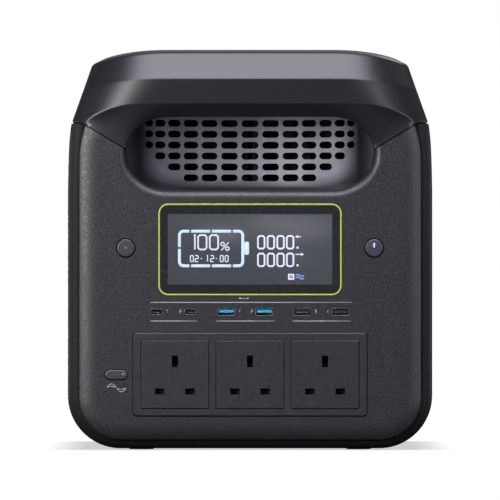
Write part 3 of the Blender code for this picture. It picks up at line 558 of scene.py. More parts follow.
LCD = glowing("lcd_glass", (0.063, 0.068, 0.082), 1.0, (0.004, 0.004, 0.005), 0.40, specular=0.12)
# The green trim ring holds no lamp: its glow is painted light that brightens it.
TRIM = glowing("green_trim", (0.36, 0.48, 0.10), 0.46, (0.17, 0.24, 0.03), 0.36)
GLYPH = glowing("lit_segments", (0.76, 0.80, 1.0), 1.0)
CELLS = glowing("lit_outline", (0.62, 0.80, 0.98), 1.0)
BLUE_GLYPH = glowing("lit_blue", (0.18, 0.33, 0.85), 1.0)
LENS_WHITE = glowing("lit_lens", (0.70, 0.80, 1.0), 1.2)
LENS_BLUE = glowing("lens_halo", (0.035, 0.045, 0.16), 0.8)
LENS_VIOLET = glowing("violet_lens", (0.10, 0.10, 0.45), 0.9)
# A glowing dot that paints the screen key's highlight: painted highlight, no lamp.
PAINTED_KEY_HIGHLIGHT = glowing("painted_key_highlight", (0.13, 0.13, 0.14), 1.0)
LENS_DIM = glowing("dim_lens", (0.045, 0.040, 0.085), 0.7)


# ---- top cover


def crown_depth(share):
    """How far the face lies back at a share of the crown's width from its edge."""
    return CROWN_DEPTH * (1 - share) ** CROWN_POWER


def face_depth(x):
    """Y of the casing's front face at the seam, which curves back near its sides."""
    from_edge = PANEL_HALF - narrowing(SEAM_EDGE_Z) - abs(x)
    return FACE_Y + crown_depth(held(from_edge / CROWN_WIDTH))


def cover_columns():
    """Places round a quarter of the cover: along the front, round the corner past the seam, up the side."""
    columns = [("front", k / 18) for k in range(18)]
    columns += [("to_seam", k / 12) for k in range(13)]
    columns += [("past_seam", k / 8) for k in range(1, 9)]
    return columns + [("side", k / 4) for k in range(1, 5)]


def ring_point(ring, column):
    half_x, half_y, corner, mid_z, side_z, (start, end, power) = ring
    flat_x, flat_y = half_x - corner[0], half_y - corner[1]
    seam_angle = SEAM_TURN
    if ring is COVER_RINGS[0]:
        seam_angle = math.acos(held((COVER_SEAM_X - flat_x) / corner[0], -1))
    kind, share = column
    if kind == "front":
        x, y = flat_x * share, -half_y
    elif kind == "side":
        x, y = half_x, -flat_y * (1 - share)
    else:
        right = math.pi / 2
        angle = mix(right, seam_angle, share) if kind == "to_seam" else mix(seam_angle, 0, share)
        x, y = flat_x + corner[0] * math.cos(angle), -flat_y - corner[1] * math.sin(angle)
    fall = held((x - start) / (end - start)) ** power
    return Vector((x, y, mix(mid_z, side_z, fall)))


def mouth_point(x):
    """The point of the pocket's upper edge that belongs to a place along the brow."""
    if x <= END_AT:
        return Vector((x, FACE_Y, MOUTH_Z + END_Z))
    share = (x - END_AT) / (COVER_SEAM_X - END_AT)
    angle = mix(math.pi / 2, angle_at_seam(0, SEAM_GAP), share)
    return Vector((END_AT + END_X * math.cos(angle), FACE_Y, MOUTH_Z + END_Z * math.sin(angle)))


def nearing_seam(x, start):
    """From 0 at a starting place along the brow to 1 at the seam."""
    return held((x - start) / (COVER_SEAM_X - start)) ** 2


def brow_section(column):
    """From the brow's back, under it and up its undercut face, to the top."""
    rings = [ring_point(ring, column) for ring in COVER_RINGS]
    place = rings[0].x
    crease = rings[1]
    crease.z = mix(crease.z, seam_height(crease.x, SEAM_GAP), nearing_seam(crease.x, CREASE_FROM_X))
    mouth = mouth_point(place)
    between = []
    for share in (0.3, 0.6, 0.85):
        point = mouth.lerp(crease, share)
        point.y = mix(point.y, face_depth(point.x), nearing_seam(place, FLUSH_FROM_X))
        between.append(point)
    inner = Vector((mouth.x, FACE_Y + BROW_BACK, mouth.z))
    roof = Vector((inner.x, inner.y, inner.z + ROOF_Z - MOUTH_Z))
    points = [roof, inner, mouth, *between, *rings[1:]]
    return rounded_path(points, (2.0, 3.0, 0, 0, 0, *COVER_ROUNDS))


def side_section(column):
    """From the lip under the side's edge to the top."""
    rings = [ring_point(ring, column) for ring in COVER_RINGS]
    edge = Vector((rings[1].x, rings[1].y, COVER_SEAM_Z + SEAM_GAP))
    lip = Vector((edge.x * 0.975, edge.y * 0.975, edge.z))
    return rounded_path([lip, edge, *rings[2:]], (0.9, *COVER_ROUNDS[1:]))


def top_cover():
    columns = cover_columns()
    front = [brow_section(c) for c in columns if c[0] in ("front", "to_seam")]
    side = [side_section(c) for c in columns if c[0] in ("past_seam", "side")]
    shape = Shape()
    shape.grid(front)
    shape.grid(side)
    round_points = ROUND_STEPS + 1
    tail = 3 * round_points + 1
    seam, first = front[-1], side[0]
    shape.grid([seam[-tail:], first[-tail:]])
    below = seam[-tail - round_points : -tail + 1]
    shape.face(below + [first[-tail], *reversed(first[1:-tail])])
    centre = Vector((0, 0, COVER_RINGS[-1][3]))
    shape.face([line[-1] for line in front + side] + [centre])
    cover = shape.object("top_cover_skin", (0, 0, 1))
    mirrored(cover, "XY")
    # Its cut rims and sharpest rounded edges are painted near black, as shade in the seams.
    thickened(cover, SKIN_WALL, shade_painted_rim=True)
    softened(cover, SKIN_ROUND, 50, dark=True)
    finished(cover, SATIN, stands_for="top_cover", rim=SEAM)


# ---- end panels


def narrowing(z):
    """How far the panel's edge draws in near its top corners."""
    return DRAW_IN * max((z - DRAW_IN_FROM_Z) / DRAW_IN_HEIGHT, 0) ** 2


def seam_height(x, gap=0.0):
    """Height of the slanting seam between an end panel and the top cover."""
    return SEAM_START_Z + (abs(x) - SEAM_START_X) * SEAM_SLOPE + gap


def panel_line(inset):
    """The panel's outline from its right seam end, round the bottom, to its left seam end."""
    half, low, radius = PANEL_HALF - inset, PANEL_LOW + inset, PANEL_RADIUS - inset
    top_x = half - narrowing(PANEL_TOP_Z)
    right = [(top_x, seam_height(top_x, -SEAM_GAP))]
    right += [(half - narrowing(z), z) for z in (229, 226, 222, 217, 211, 160, 90)]
    steps = 16
    for step in range(steps + 1):
        angle = math.pi / 2 * step / steps
        x = half - radius + radius * math.cos(angle)
        right.append((x, low + radius - radius * math.sin(angle)))
    right.append((half / 3, low))
    return right + [(-x, z) for x, z in reversed(right)]


def angle_at_seam(grow, gap):
    """Where round the pocket's end its grown outline meets the seam, found by halving."""
    low, high = 0.0, math.pi / 4
    for _ in range(24):
        angle = (low + high) / 2
        x = END_AT + (END_X + grow) * math.cos(angle)
        z = MOUTH_Z + (END_Z + grow) * math.sin(angle)
        low, high = (low, angle) if z > seam_height(x, gap) else (angle, high)
    return low


def mouth_line(grow):
    """The lower edge of the pocket's mouth, from its left seam end to its right."""
    seam_angle = angle_at_seam(grow, -SEAM_GAP)
    steps = 20
    left = []
    for step in range(steps + 1):
        angle = mix(seam_angle, -math.pi / 2, step / steps)
        x = END_AT + (END_X + grow) * math.cos(angle)
        left.append((-x, MOUTH_Z + (END_Z + grow) * math.sin(angle)))
    left += [(-END_AT / 3, MOUTH_Z - END_Z - grow)]
    return left + [(-x, z) for x, z in reversed(left)]


def panel_skin(name, holes, rear):
    """An end panel: its crowned edge, the rolled rim of the pocket's mouth and the flat between."""
    shape = Shape()
    section = [(0, CROWN_DEPTH + CROWN_WALL), (0.05, CROWN_DEPTH + 0.5)]
    section += [(0.4, crown_depth(0.4 / CROWN_WIDTH) + 0.1)]
    shares = [(k / 12) ** 1.2 for k in range(1, 13)]
    section += [(CROWN_WIDTH * share, crown_depth(share)) for share in shares]
    shape.grid([at(panel_line(inset), FACE_Y + depth) for inset, depth in section])
    rim = []
    for k in range(7):
        turn = math.pi / 2 * k / 6
        grow, depth = RIM_ROUND * (1 - math.sin(turn)), RIM_ROUND * (1 - math.cos(turn))
        rim.append(at(mouth_line(grow), FACE_Y + depth))
    rim.append(at(mouth_line(0), FACE_Y + RIM_ROUND + 1.3))
    shape.grid(rim)
    outer = panel_line(CROWN_WIDTH) + mouth_line(RIM_ROUND)
    shape.flat([outer, *holes], FACE_Y)
    if rear:
        shape.mirror_y()
    panel = shape.object(name, (0, 1 if rear else -1, 0))
    # Its cut rims, hole edges and sharpest rounded edges are painted near black, as shade in the seams and
    # holes.
    thickened(panel, SKIN_WALL, shade_painted_rim=True)
    softened(panel, 0.2, 50, dark=True)
    finished(panel, GRAINED, stands_for=name.removesuffix("_skin"), rim=SEAM)


def middle_and_half(name):
    """Centre and half size in X and Z of a CAD node, in millimetres."""
    low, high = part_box(name)
    centre = ((low.x + high.x) / 2 / MM, (low.z + high.z) / 2 / MM)
    return centre, ((high.x - low.x) / 2 / MM, (high.z - low.z) / 2 / MM)


def hole_round(name, gap, radius=None, steps=8):
    """A CAD node's outline grown by a gap. Without a radius its ends are half circles."""
    centre, half = middle_and_half(name)
    return grown(centre, half, half[1] - 0.01 if radius is None else radius, gap, steps)


def front_panel():
    """The front, with a hole for each thing that stands in it."""
    holes = [hole_round("display_trim_ring", HOLE_GAP, RING_RADIUS, 12)]
    for key in ("screen_button", "power_button"):
        centre, half = middle_and_half(key)
        holes.append(circle(centre, half[0] + KEY_GAP))
    holes.append(hole_round("ac_button", 0.5))
    centre = middle_and_half("outlet_frame")[0]
    holes.append(grown(centre, SOCKET_FRAME_HALF, SOCKET_FRAME_RADIUS, HOLE_GAP))
    holes += [hole_round(f"usb_c_port_{index}", PORT_GAP) for index in (1, 2)]
    holes += [hole_round(f"usb_a_port_{index}", PORT_GAP, 0.6, 4) for index in (1, 2, 3, 4)]
    panel_skin("front_panel_skin", holes, rear=False)


def rear_panel():
    """The rear, with round holes for the sockets and breaker and square ones for the inlets."""
    holes = []
    for name, radius in (("car_socket", 13.8), ("dc_jack_1", 5.5), ("dc_jack_2", 5.5), ("breaker_body", 7.3)):
        x, z = middle_and_half(name)[0]
        holes.append(circle((x, CAR_SOCKET_Z if name == "car_socket" else z), radius))
    for name, half, radius in (("solar_inlet", (13.3, 8.3), 1.5), ("ac_inlet", (14.8, 10.8), 2.0)):
        holes.append(rounded(middle_and_half(name)[0], half, radius))
    panel_skin("rear_panel_skin", holes, rear=True)


# ---- base and sides


def body_line(side_only):
    """(x, z, normal) along the casing's right side, or round its bottom half, from the top down."""
    if side_only:
        top = [(131.3, 239.7), (131.9, 236), (132.4, 231), (132.9, 226), (133.3, 218), (133.7, 206)]
        run = [(134, z) for z in (190, 150, 110, 70, 40)]
        lowest = (133.97, BASE_SEAM_Z + BASE_SEAM_HALF_GAP)
        return [(x, z, (1, 0)) for x, z in [*top, *run, lowest]]
    line = []
    first = math.asin((BODY_LOW + BODY_RADIUS - BASE_SEAM_Z + BASE_SEAM_HALF_GAP) / BODY_RADIUS)
    steps = 20
    for step in range(steps + 1):
        angle = mix(first, math.pi / 2, step / steps)
        normal = (math.cos(angle), -math.sin(angle))
        x = BODY_HALF - BODY_RADIUS + BODY_RADIUS * normal[0]
        line.append((x, BODY_LOW + BODY_RADIUS + BODY_RADIUS * normal[1], normal))
    for x in (60, 30, 0):
        line.append((x, BODY_LOW, (0, -1)))
    return line


def shell_section(lip):
    """(inset, y) from the front lip, over the rounded edge, to the middle of the length."""
    section = [(lip, -SHELL_Y + SHELL_LIP_BACK), (lip, -SHELL_Y)]
    steps = 8
    for step in range(steps + 1):
        angle = math.pi / 2 * step / steps
        inset = SHELL_ROUND * (1 - math.sin(angle))
        section.append((inset, -SHELL_Y + SHELL_ROUND * (1 - math.cos(angle))))
    return section + [(0, -120), (0, -60), (0, 0)]


def shell(name, stands_for, side_only, sign=1):
    """The base, or one side cover: half of its length, mirrored."""
    lines = []
    for x, z, normal in body_line(side_only):
        lip = x - PANEL_HALF - PANEL_GAP + narrowing(z) if side_only else SHELL_LIP
        section = shell_section(lip)
        lines.append([(sign * (x - normal[0] * inset), y, z - normal[1] * inset) for inset, y in section])
    shape = Shape()
    shape.grid(lines)
    skin = shape.object(name, (sign, 0, 0) if side_only else (0, 0, -1))
    mirrored(skin, "Y" if side_only else "XY")
    thickened(skin, SKIN_WALL)
    softened(skin, SKIN_ROUND, 50)
    finished(skin, SIDE, stands_for=stands_for)


def casing_shells():
    shell("base_skin", "base_tray", side_only=False)
    for name, sign in (("left_side", -1), ("right_side", 1)):
        shell(name + "_skin", name + "_cover", side_only=True, sign=sign)


def seam_strip(name, lines, facing):
    shape = Shape()
    shape.grid(lines)
    strip = shape.object(name, facing)
    mirrored(strip, "XY")
    thickened(strip, BACKING_WALL)
    finished(strip, SEAM)


def seam_shade_strips():
    """Black strips behind the seams, painted shade so that the gaps read as dark grooves and let no light
    through.
    """
    centre, radius = (123.2, -169.6), 6.6
    turns = [math.pi / 2 * (1 - k / 8) for k in range(9)]
    corner = [(centre[0] + radius * math.cos(a), centre[1] - radius * math.sin(a)) for a in turns]
    plan = [(118, -176.2), *corner, (129.8, 0)]
    seam_strip("seam_shade_strip_sides", [[(x, y, z) for x, y in plan] for z in (236, 241.4)], (1, -1, 0))

    lines = []
    for x in (93.5, 95.5, 98, 102, 106, 110, 113, 116, 118.5, 120.5):
        y = face_depth(x) + BACKING_DEPTH + 1.1 * max(98 - x, 0)
        z = seam_height(x)
        half_x, half_z = BACKING_HALF
        lines.append([(x + half_x, y, z - half_z), (x - half_x, y, z + half_z)])
    seam_strip("seam_shade_strip_ends", lines, (0, -1, 0))


# ---- grilles


CELL_ACROSS = [-1, -0.75, -0.5, -0.25, 0, 0.25, 0.5, 0.75, 1]
CELL_UP = [-1, -0.5, 0, 0.5, 1]
CELL_HALF = (GRILLE_RADIUS * math.radians(GRILLE_STEP) / 2, SLOT_PITCH / 2)


def on_grille(across, z):
    """A point on the curved wall, by its distance round the arc."""
    angle = across / GRILLE_RADIUS
    return (GRILLE_RADIUS * math.sin(angle), -GRILLE_AXIS_Y + GRILLE_RADIUS * math.cos(angle), z)


def cell_edge():
    """The cell's edge, anticlockwise from its lower right: 8 steps to a long side and 4 to a short one."""
    w, h = CELL_HALF
    right = [(w, v * h) for v in CELL_UP[:-1]]
    top = [(-u * w, h) for u in CELL_ACROSS[:-1]]
    left = [(-w, -v * h) for v in CELL_UP[:-1]]
    bottom = [(u * w, -h) for u in CELL_ACROSS[:-1]]
    return right + top + left + bottom


def slot_edge(across):
    """The slot's edge, with its points beside the cell edge's: 8 round each end and 4 along each flat.

    Its ends are longer towards the sides of the wall, so that they look round from the front.
    """
    half, tall = SLOT_HALF
    end = min(tall / math.cos(across / GRILLE_RADIUS), half)
    flat = half - end
    turns = [math.pi * (k - 4) / 8 for k in range(9)]
    arc = [(flat + end * math.cos(a), tall * math.sin(a)) for a in turns]
    top = [(flat - 2 * flat * k / 4, tall) for k in range(1, 4)]
    left = [(-x, -z) for x, z in arc]
    bottom = [(-x, -z) for x, z in top]
    return arc[2:] + top + left + bottom + arc[:2]


def slot_cell(shape, across, z):
    outer = [on_grille(across + u, z + v) for u, v in cell_edge()]
    inner = [on_grille(across + u, z + v) for u, v in slot_edge(across)]
    shape.grid([outer, inner], closed=True)


def plain_cell(shape, across, z):
    w, h = CELL_HALF
    shape.grid([[on_grille(across + u * w, z + v * h) for u in CELL_ACROSS] for v in CELL_UP])


def end_height(x, centre_z, sign):
    """Height of the pocket's floor or roof, which curve to meet at its ends."""
    past = held((abs(x) - END_AT) / END_X)
    return centre_z + sign * END_Z * math.sqrt(1 - past**2)


def cheek_columns():
    """Places in plan from the arc's right end to the mouth."""
    across = GRILLE_RADIUS * math.radians(GRILLE_STEP * (GRILLE_END + 0.5))
    start = Vector(on_grille(across, 0)).xy
    ahead = (Vector(on_grille(across + 0.1, 0)).xy - start).normalized()
    end = Vector((END_AT + END_X, FACE_Y + 5))
    return bend(start, start + ahead * CHEEK_REACH, end, 10)


def wall_to_mouth(x, y, near_z, sign):
    """From the wall, round a fillet and forward along the floor or the roof."""
    z = end_height(x, MOUTH_Z if sign < 0 else ROOF_Z, sign)
    front_y = FACE_Y + (RIM_ROUND + RIM_BACK if sign < 0 else BROW_BACK)
    front_y = min(front_y, y - 0.2)
    return rounded_path([(x, y, near_z), (x, y, z), (x, front_y, z)], (POCKET_FILLET,), 6)


def grille(name, rear):
    """The curved wall with its slots, and the floor and roof before it."""
    shape = Shape()
    low_z = SLOT_FIRST_Z - SLOT_PITCH / 2
    high_z = low_z + len(SLOTS_EACH_SIDE) * SLOT_PITCH
    columns = range(-GRILLE_END, GRILLE_END + 1)
    for row, each_side in enumerate(SLOTS_EACH_SIDE):
        z = SLOT_FIRST_Z + row * SLOT_PITCH
        for column in columns:
            draw = slot_cell if abs(column) <= each_side else plain_cell
            draw(shape, column * 2 * CELL_HALF[0], z)
    places = [column * 2 + u for column in columns for u in CELL_ACROSS[:-1]] + [GRILLE_END * 2 + 1]
    arc = [on_grille(place * CELL_HALF[0], 0) for place in places]
    for near_z, sign in ((low_z, -1), (high_z, 1)):
        shape.grid([wall_to_mouth(x, y, near_z, sign) for x, y, _ in arc])
    if rear:
        shape.mirror_y()
    liner = shape.object(name + "_liner", (0, 1 if rear else -1, 0))
    # Its slot walls and cut rims are painted near black, as shade in the slots.
    thickened(liner, LINER_WALL, shade_painted_rim=True)
    softened(liner, SKIN_ROUND, 45)
    finished(liner, GRILLE, stands_for=name, rim=SEAM)
    cheeks(name, rear, arc[-1][0], low_z, high_z)


def cheeks(name, rear, start_x, low_z, high_z):
    """The pocket's side walls, from the grille's ends to the mouth."""
    shape = Shape()
    heights = [k / 24 for k in range(25)]
    for side in (-1, 1):
        wall, floor, roof = [], [], []
        for x, y in cheek_columns():
            past = min(3 * (x - start_x) / (END_AT + END_X - start_x), 1)
            floor_z, roof_z = end_height(x, MOUTH_Z, -1), end_height(x, ROOF_Z, 1)
            near = max(mix(low_z, floor_z + CHEEK_INSET, past), floor_z + CHEEK_GAP)
            far = min(mix(high_z, roof_z - CHEEK_INSET, past), roof_z - CHEEK_GAP)
            wall.append([(side * x, y, mix(near, far, t)) for t in heights])
            floor.append([(side * p.x, p.y, p.z) for p in wall_to_mouth(x, y, near, -1)])
            roof.append([(side * p.x, p.y, p.z) for p in wall_to_mouth(x, y, far, 1)])
        for lines in (wall, floor, roof):
            shape.grid(lines)
    if rear:
        shape.mirror_y()
    walls = shape.object(name + "_cheeks", (0, 1 if rear else -1, 0))
    thickened(walls, LINER_WALL)
    softened(walls, 0.35, 45)
    # The grille's painted shade makes the cheeks near black.
    finished(walls, GRILLE)


# ---- marks and lit segments


def ribbon(shape, points, width, y, closed=False):
    """A flat line of one width, mitred at its corners."""
    points = [Vector(p) for p in points]
    count = len(points)
    left, right = [], []
    for i, here in enumerate(points):
        ways = []
        if i or closed:
            ways.append((here - points[i - 1]).normalized())
        if i < count - 1 or closed:
            ways.append((points[(i + 1) % count] - here).normalized())
        way = sum(ways, Vector((0, 0))).normalized()
        normal = Vector((-way.y, way.x))
        reach = width / 2 / max(normal.dot(Vector((-ways[0].y, ways[0].x))), 0.5)
        a, b = here + normal * reach, here - normal * reach
        left.append((a.x, y, a.y))
        right.append((b.x, y, b.y))
    if closed:
        left.append(left[0])
        right.append(right[0])
    shape.grid([left, right])


def polygon(shape, outline, y):
    shape.face(at(outline, y))


def wave_line(low_x, z, length, lift, steps=32):
    """One turn of a sine wave."""
    turns = [2 * math.pi * k / steps for k in range(steps + 1)]
    return [(low_x + length * k / steps, z + lift * math.sin(turn)) for k, turn in enumerate(turns)]


def small_ring(u, v):
    """The per cent sign's ring, an octagon 0.42 of the figure's box each way."""
    right = ((0.3, 0), (0.42, 0.14), (0.42, 0.28), (0.3, 0.42))
    left = [(0.42 - du, dv) for du, dv in reversed(right)]
    return [(u + du, v + dv) for du, dv in (*right, *left)]


# Each figure's lines in a unit box, and whether each line is closed.
GLYPHS = {
    "0": [([(0.22, 0), (0.78, 0), (1, 0.12), (1, 0.88), (0.78, 1), (0.22, 1), (0, 0.88), (0, 0.12)], True)],
    "1": [([(0.55, 1), (1, 1), (1, 0)], False)],
    "2": [([(0, 1), (0.75, 1), (1, 0.88), (1, 0.5), (0.25, 0.5), (0, 0.4), (0, 0), (1, 0)], False)],
    "3": [
        ([(0, 1), (0.8, 1), (1, 0.9), (1, 0.1), (0.8, 0), (0, 0)], False),
        ([(0.2, 0.5), (0.9, 0.5)], False),
    ],
    "4": [([(0.75, 0), (0.75, 1), (0, 0.3), (1, 0.3)], False)],
    "-": [([(0.1, 0.5), (0.9, 0.5)], False)],
    "%": [
        ([(0.05, 0), (0.95, 1)], False),
        (small_ring(0, 0.58), True),
        (small_ring(0.58, 0), True),
    ],
}


def glyph(shape, key, low, high, width, y):
    """A figure drawn inside a box of the XZ plane."""
    low_x, low_z = low[0] + width / 2, low[1] + width / 2
    wide, tall = high[0] - low[0] - width, high[1] - low[1] - width
    for line, closed in GLYPHS[key]:
        ribbon(shape, [(low_x + u * wide, low_z + v * tall) for u, v in line], width, y, closed)


def mark_piece(name, shape, material, facing=-1):
    marks = shape.object(name, (0, facing, 0))
    thickened(marks, MARK_DEPTH)
    finished(marks, material)


# ---- display


def display():
    """The green ring, the dark border inside it and the lit glass in the border's opening."""
    centre, half = middle_and_half("display_trim_ring")
    top_y = FACE_Y - 0.45
    section = [(0, FACE_Y + 1.5), (0, FACE_Y - 0.1), (0.2, top_y + 0.08), (0.4, top_y)]
    section += [(RING_WIDTH - d, y) for d, y in reversed(section)]
    lines = [at(grown(centre, half, RING_RADIUS, -inset, 14), y) for inset, y in section]
    shape = Shape()
    shape.grid(lines + [lines[0]], closed=True)
    ring = shape.object("display_ring")
    softened(ring, 0.08, 50)
    # The ring's glow is painted light.
    finished(ring, TRIM, stands_for="display_trim_ring")

    inner = (half[0] - RING_WIDTH - 0.1, half[1] - RING_WIDTH - 0.1)
    edge = rounded(centre, inner, RING_RADIUS - RING_WIDTH, 14)
    middle = ((LCD_LOW[0] + LCD_HIGH[0]) / 2, (LCD_LOW[1] + LCD_HIGH[1]) / 2)
    opening = ((LCD_HIGH[0] - LCD_LOW[0]) / 2, (LCD_HIGH[1] - LCD_LOW[1]) / 2)
    bezel = prism("display_bezel", edge, FACE_Y - 0.3, FACE_Y + 1.5, [rounded(middle, opening, 0.6, 3)])
    softened(bezel, 0.15, 50)
    finished(bezel, BEZEL, stands_for="display_window")
    behind = rounded(middle, (opening[0] + 1, opening[1] + 1), 0.6, 3)
    glass = prism("display_glass", behind, FACE_Y, FACE_Y + 1.3)
    finished(glass, LCD, stands_for="lcd_module")
    battery_symbol()
    readouts()


def battery_symbol():
    """The rounded outline in broken segments, with its terminal."""
    shape = Shape()
    left, right, low, high = -51.8, -5.3, 135.2, 160.6
    width, radius, gap = 2.1, 3.0, 0.65
    breaks = (-43.9, -28.6, -13.2)
    mid_z = 148.3

    def corner(cx, cz, from_turn):
        turns = [from_turn + math.pi / 2 * k / 6 for k in range(7)]
        return [(cx + radius * math.cos(a), cz + radius * math.sin(a)) for a in turns]

    top_left = corner(left + radius, high - radius, math.pi / 2)
    low_left = corner(left + radius, low + radius, math.pi)
    low_right = corner(right - radius, low + radius, 1.5 * math.pi)
    top_right = corner(right - radius, high - radius, 0)
    ribbon(shape, [(breaks[0] - gap, high), *top_left, (left, mid_z + gap)], width, LIT_Y)
    ribbon(shape, [(left, mid_z - gap), *low_left, (breaks[0] - gap, low)], width, LIT_Y)
    ribbon(shape, [(breaks[2] + gap, low), *low_right, *top_right, (breaks[2] + gap, high)], width, LIT_Y)
    for a, b in zip(breaks, breaks[1:]):
        for z in (low, high):
            ribbon(shape, [(a + gap, z), (b - gap, z)], width, LIT_Y)
    polygon(shape, rounded((-2.45, 148.1), (1.75, 4.8), 1.2, 4), LIT_Y)
    mark_piece("battery_symbol", shape, CELLS)


def readouts():
    """The charge, the small row under it, the two rows of figures and their arrows."""
    shape = Shape()
    big = (146.6, 158.3)
    for key, low_x, high_x in (("1", -42.6, -39.9), ("0", -38.7, -31.3), ("0", -30.1, -22.8)):
        glyph(shape, key, (low_x, big[0]), (high_x, big[1]), 1.15, LIT_Y)
    glyph(shape, "%", (-21.8, 146.2), (-14.9, 152.8), 0.8, LIT_Y)
    small = (137.9, 143.1)
    places = (-44.1, -40.6, -36.6, -32.6, -29.3, -25.6, -22.2, -18.6)
    for key, low_x in zip("02-12-00", places):
        high_x = low_x + (1.8 if key in "1-" else 2.9)
        glyph(shape, key, (low_x, small[0]), (high_x, small[1]), 0.72, LIT_Y)
    for low_z, high_z in ((147.2, 157.7), (134.3, 144.8)):
        for low_x in (5.2, 12.3, 19.4, 26.4):
            glyph(shape, "0", (low_x, low_z), (low_x + 6.1, high_z), 1.25, LIT_Y)
        polygon(shape, rounded((34.9, low_z + 1.3), (0.8, 0.8), 0.5, 3), LIT_Y)
    for z, sign in ((156.6, -1), (143.6, 1)):
        ribbon(shape, [(33.3, z), (37.4, z)], 0.75, LIT_Y)
        tip = 39.6 if sign > 0 else 33.1
        back = tip - sign * 2.2
        polygon(shape, [(tip, z), (back, z + 1.3), (back, z - 1.3)], LIT_Y)
    mark_piece("readouts", shape, GLYPH)
    small_icons()


def small_icons():
    """A dot in a rounded frame, and two short waves."""
    sizes = (((2.3, 2.2), 0.6), ((1.2, 1.1), 0.4), ((0.55, 0.5), 0.3))
    outer, inner, dot = [at(rounded((30.2, 127.1), half, radius, 3), LIT_Y) for half, radius in sizes]
    icon = Shape()
    icon.grid([outer, inner], closed=True)
    icon.face(dot)
    mark_piece("white_icon", icon, GLYPH)
    waves = Shape()
    for lift in (0, 1.9):
        ribbon(waves, wave_line(33.6, 126.2 + lift, 6, 0.7, 12), 0.9, LIT_Y)
    mark_piece("blue_icon", waves, BLUE_GLYPH)


# ---- keys


def round_key(name):
    centre, half = middle_and_half(name)
    radius = half[0]
    dish = [(radius * share, KEY_TOP + 0.12 * share**2) for share in (0.75, 0.5, 0.25, 0.0)]
    edge = [(radius, KEY_TOP + 0.75), (radius - 0.18, KEY_TOP + 0.35), (radius - 0.6, KEY_TOP + 0.12)]
    key = turned(name + "_cap", centre, [(0.0, KEY_ROOT), (radius, KEY_ROOT), *edge, *dish])
    softened(key, 0.12, 50)
    finished(key, KEY, body=name, stands_for=name)


def lens(name, outline, proud, material, body):
    """A flat lens let into a key's top. The screen key's one is a glowing dot that paints its highlight."""
    piece = prism(name, outline, KEY_TOP - proud, KEY_TOP + 0.5)
    finished(piece, material, body=body)


def key_lenses_and_highlight():
    """The power key's lit stroke in its halo, and a glowing dot at the screen key's middle that paints its
    highlight.
    """
    x, z = middle_and_half("power_button")[0]
    lens("power_lens_halo", circle((x, z + 1.6), 2.5, 32), 0.02, LENS_BLUE, "power_button")
    lens("power_lens_bar", rounded((x, z + 1.9), (0.42, 1.75), 0.4, 4), 0.05, LENS_WHITE, "power_button")
    x, z = middle_and_half("screen_button")[0]
    # Painted highlight: a glowing dot on the screen key.
    lens("screen_key_painted_highlight", circle((x, z), 0.9, 24), 0.02, PAINTED_KEY_HIGHLIGHT, "screen_button")


def ac_key():
    """The oblong key with its dim lens and the dot in it."""
    name = "ac_button"
    centre, half = middle_and_half(name)
    top = [(0, KEY_TOP + 0.7), (0.15, KEY_TOP + 0.3), (0.55, KEY_TOP + 0.08), (1.2, KEY_TOP)]
    lines = [at(grown(centre, half, half[1] - 0.01, -inset, 10), y) for inset, y in [(0, KEY_ROOT), *top]]
    shape = Shape()
    shape.grid(lines, closed=True)
    shape.face(lines[-1])
    shape.face(lines[0])
    key = shape.object("ac_button_cap")
    softened(key, 0.12, 50)
    finished(key, KEY, body=name, stands_for=name)
    place = (centre[0] + 4.9, centre[1] - 0.1)
    lens("ac_lens_rim", circle(place, 1.9, 32), 0.02, LENS_DIM, name)
    lens("ac_lens_dot", circle(place, 0.55, 16), 0.05, LENS_VIOLET, name)


# ---- ports


def shell_port(name, round_ends, tongue_material, tongue_half, tongue_up, contacts):
    """A drawn shell with a lining, its tongue and the contacts on it."""
    centre, half = middle_and_half(name)
    radius, steps = (half[1] - 0.01, 10) if round_ends else (0.7, 4)
    outer = rounded(centre, half, radius, steps)
    inner_half = (half[0] - PORT_WALL, half[1] - PORT_WALL)
    inner = rounded(centre, inner_half, max(radius - PORT_WALL, 0.25), steps)
    front, inner_end = PORT_FRONT, PORT_FRONT + PORT_DEPTH - 1
    shape = Shape()
    shape.grid(
        [at(outer, front + PORT_DEPTH), at(outer, front), at(inner, front), at(inner, inner_end)], closed=True
    )
    shape.face(at(inner, inner_end))
    body = shape.object(name + "_shell", (0, -1, 0))
    softened(body, 0.1, 50)
    finished(body, STEEL, stands_for=name)
    middle = (centre[0], centre[1] + tongue_up)
    tongue = prism(name + "_tongue", rounded(middle, tongue_half, 0.15, 2), front + 1.0, inner_end)
    softened(tongue, 0.12, 50)
    finished(tongue, tongue_material)
    pins = Shape()
    under = middle[1] - tongue_half[1]
    for k in range(contacts):
        x = middle[0] + (k - (contacts - 1) / 2) * tongue_half[0] * 1.6 / contacts
        wide = tongue_half[0] * 0.55 / contacts
        low, high = (x - wide, under - 0.06), (x + wide, under + 0.08)
        line = [(low[0], low[1]), (high[0], low[1]), (high[0], high[1]), (low[0], high[1])]
        pins.grid([at(line, front + 0.95), at(line, front + 8)], closed=True)
        pins.face(at(line, front + 0.95))
        pins.face(at(line, front + 8))
    contact = pins.object(name + "_contacts")
    finished(contact, CONTACT)


def usb_ports():
    for index in (1, 2):
        shell_port(f"usb_c_port_{index}", True, PORT_BLACK, (3.3, 0.35), 0.0, 6)
    for index in (1, 2, 3, 4):
        plastic = PORT_BLUE if index <= 2 else PORT_BLACK
        shell_port(f"usb_a_port_{index}", False, plastic, (5.5, 1.05), 0.75, 4)


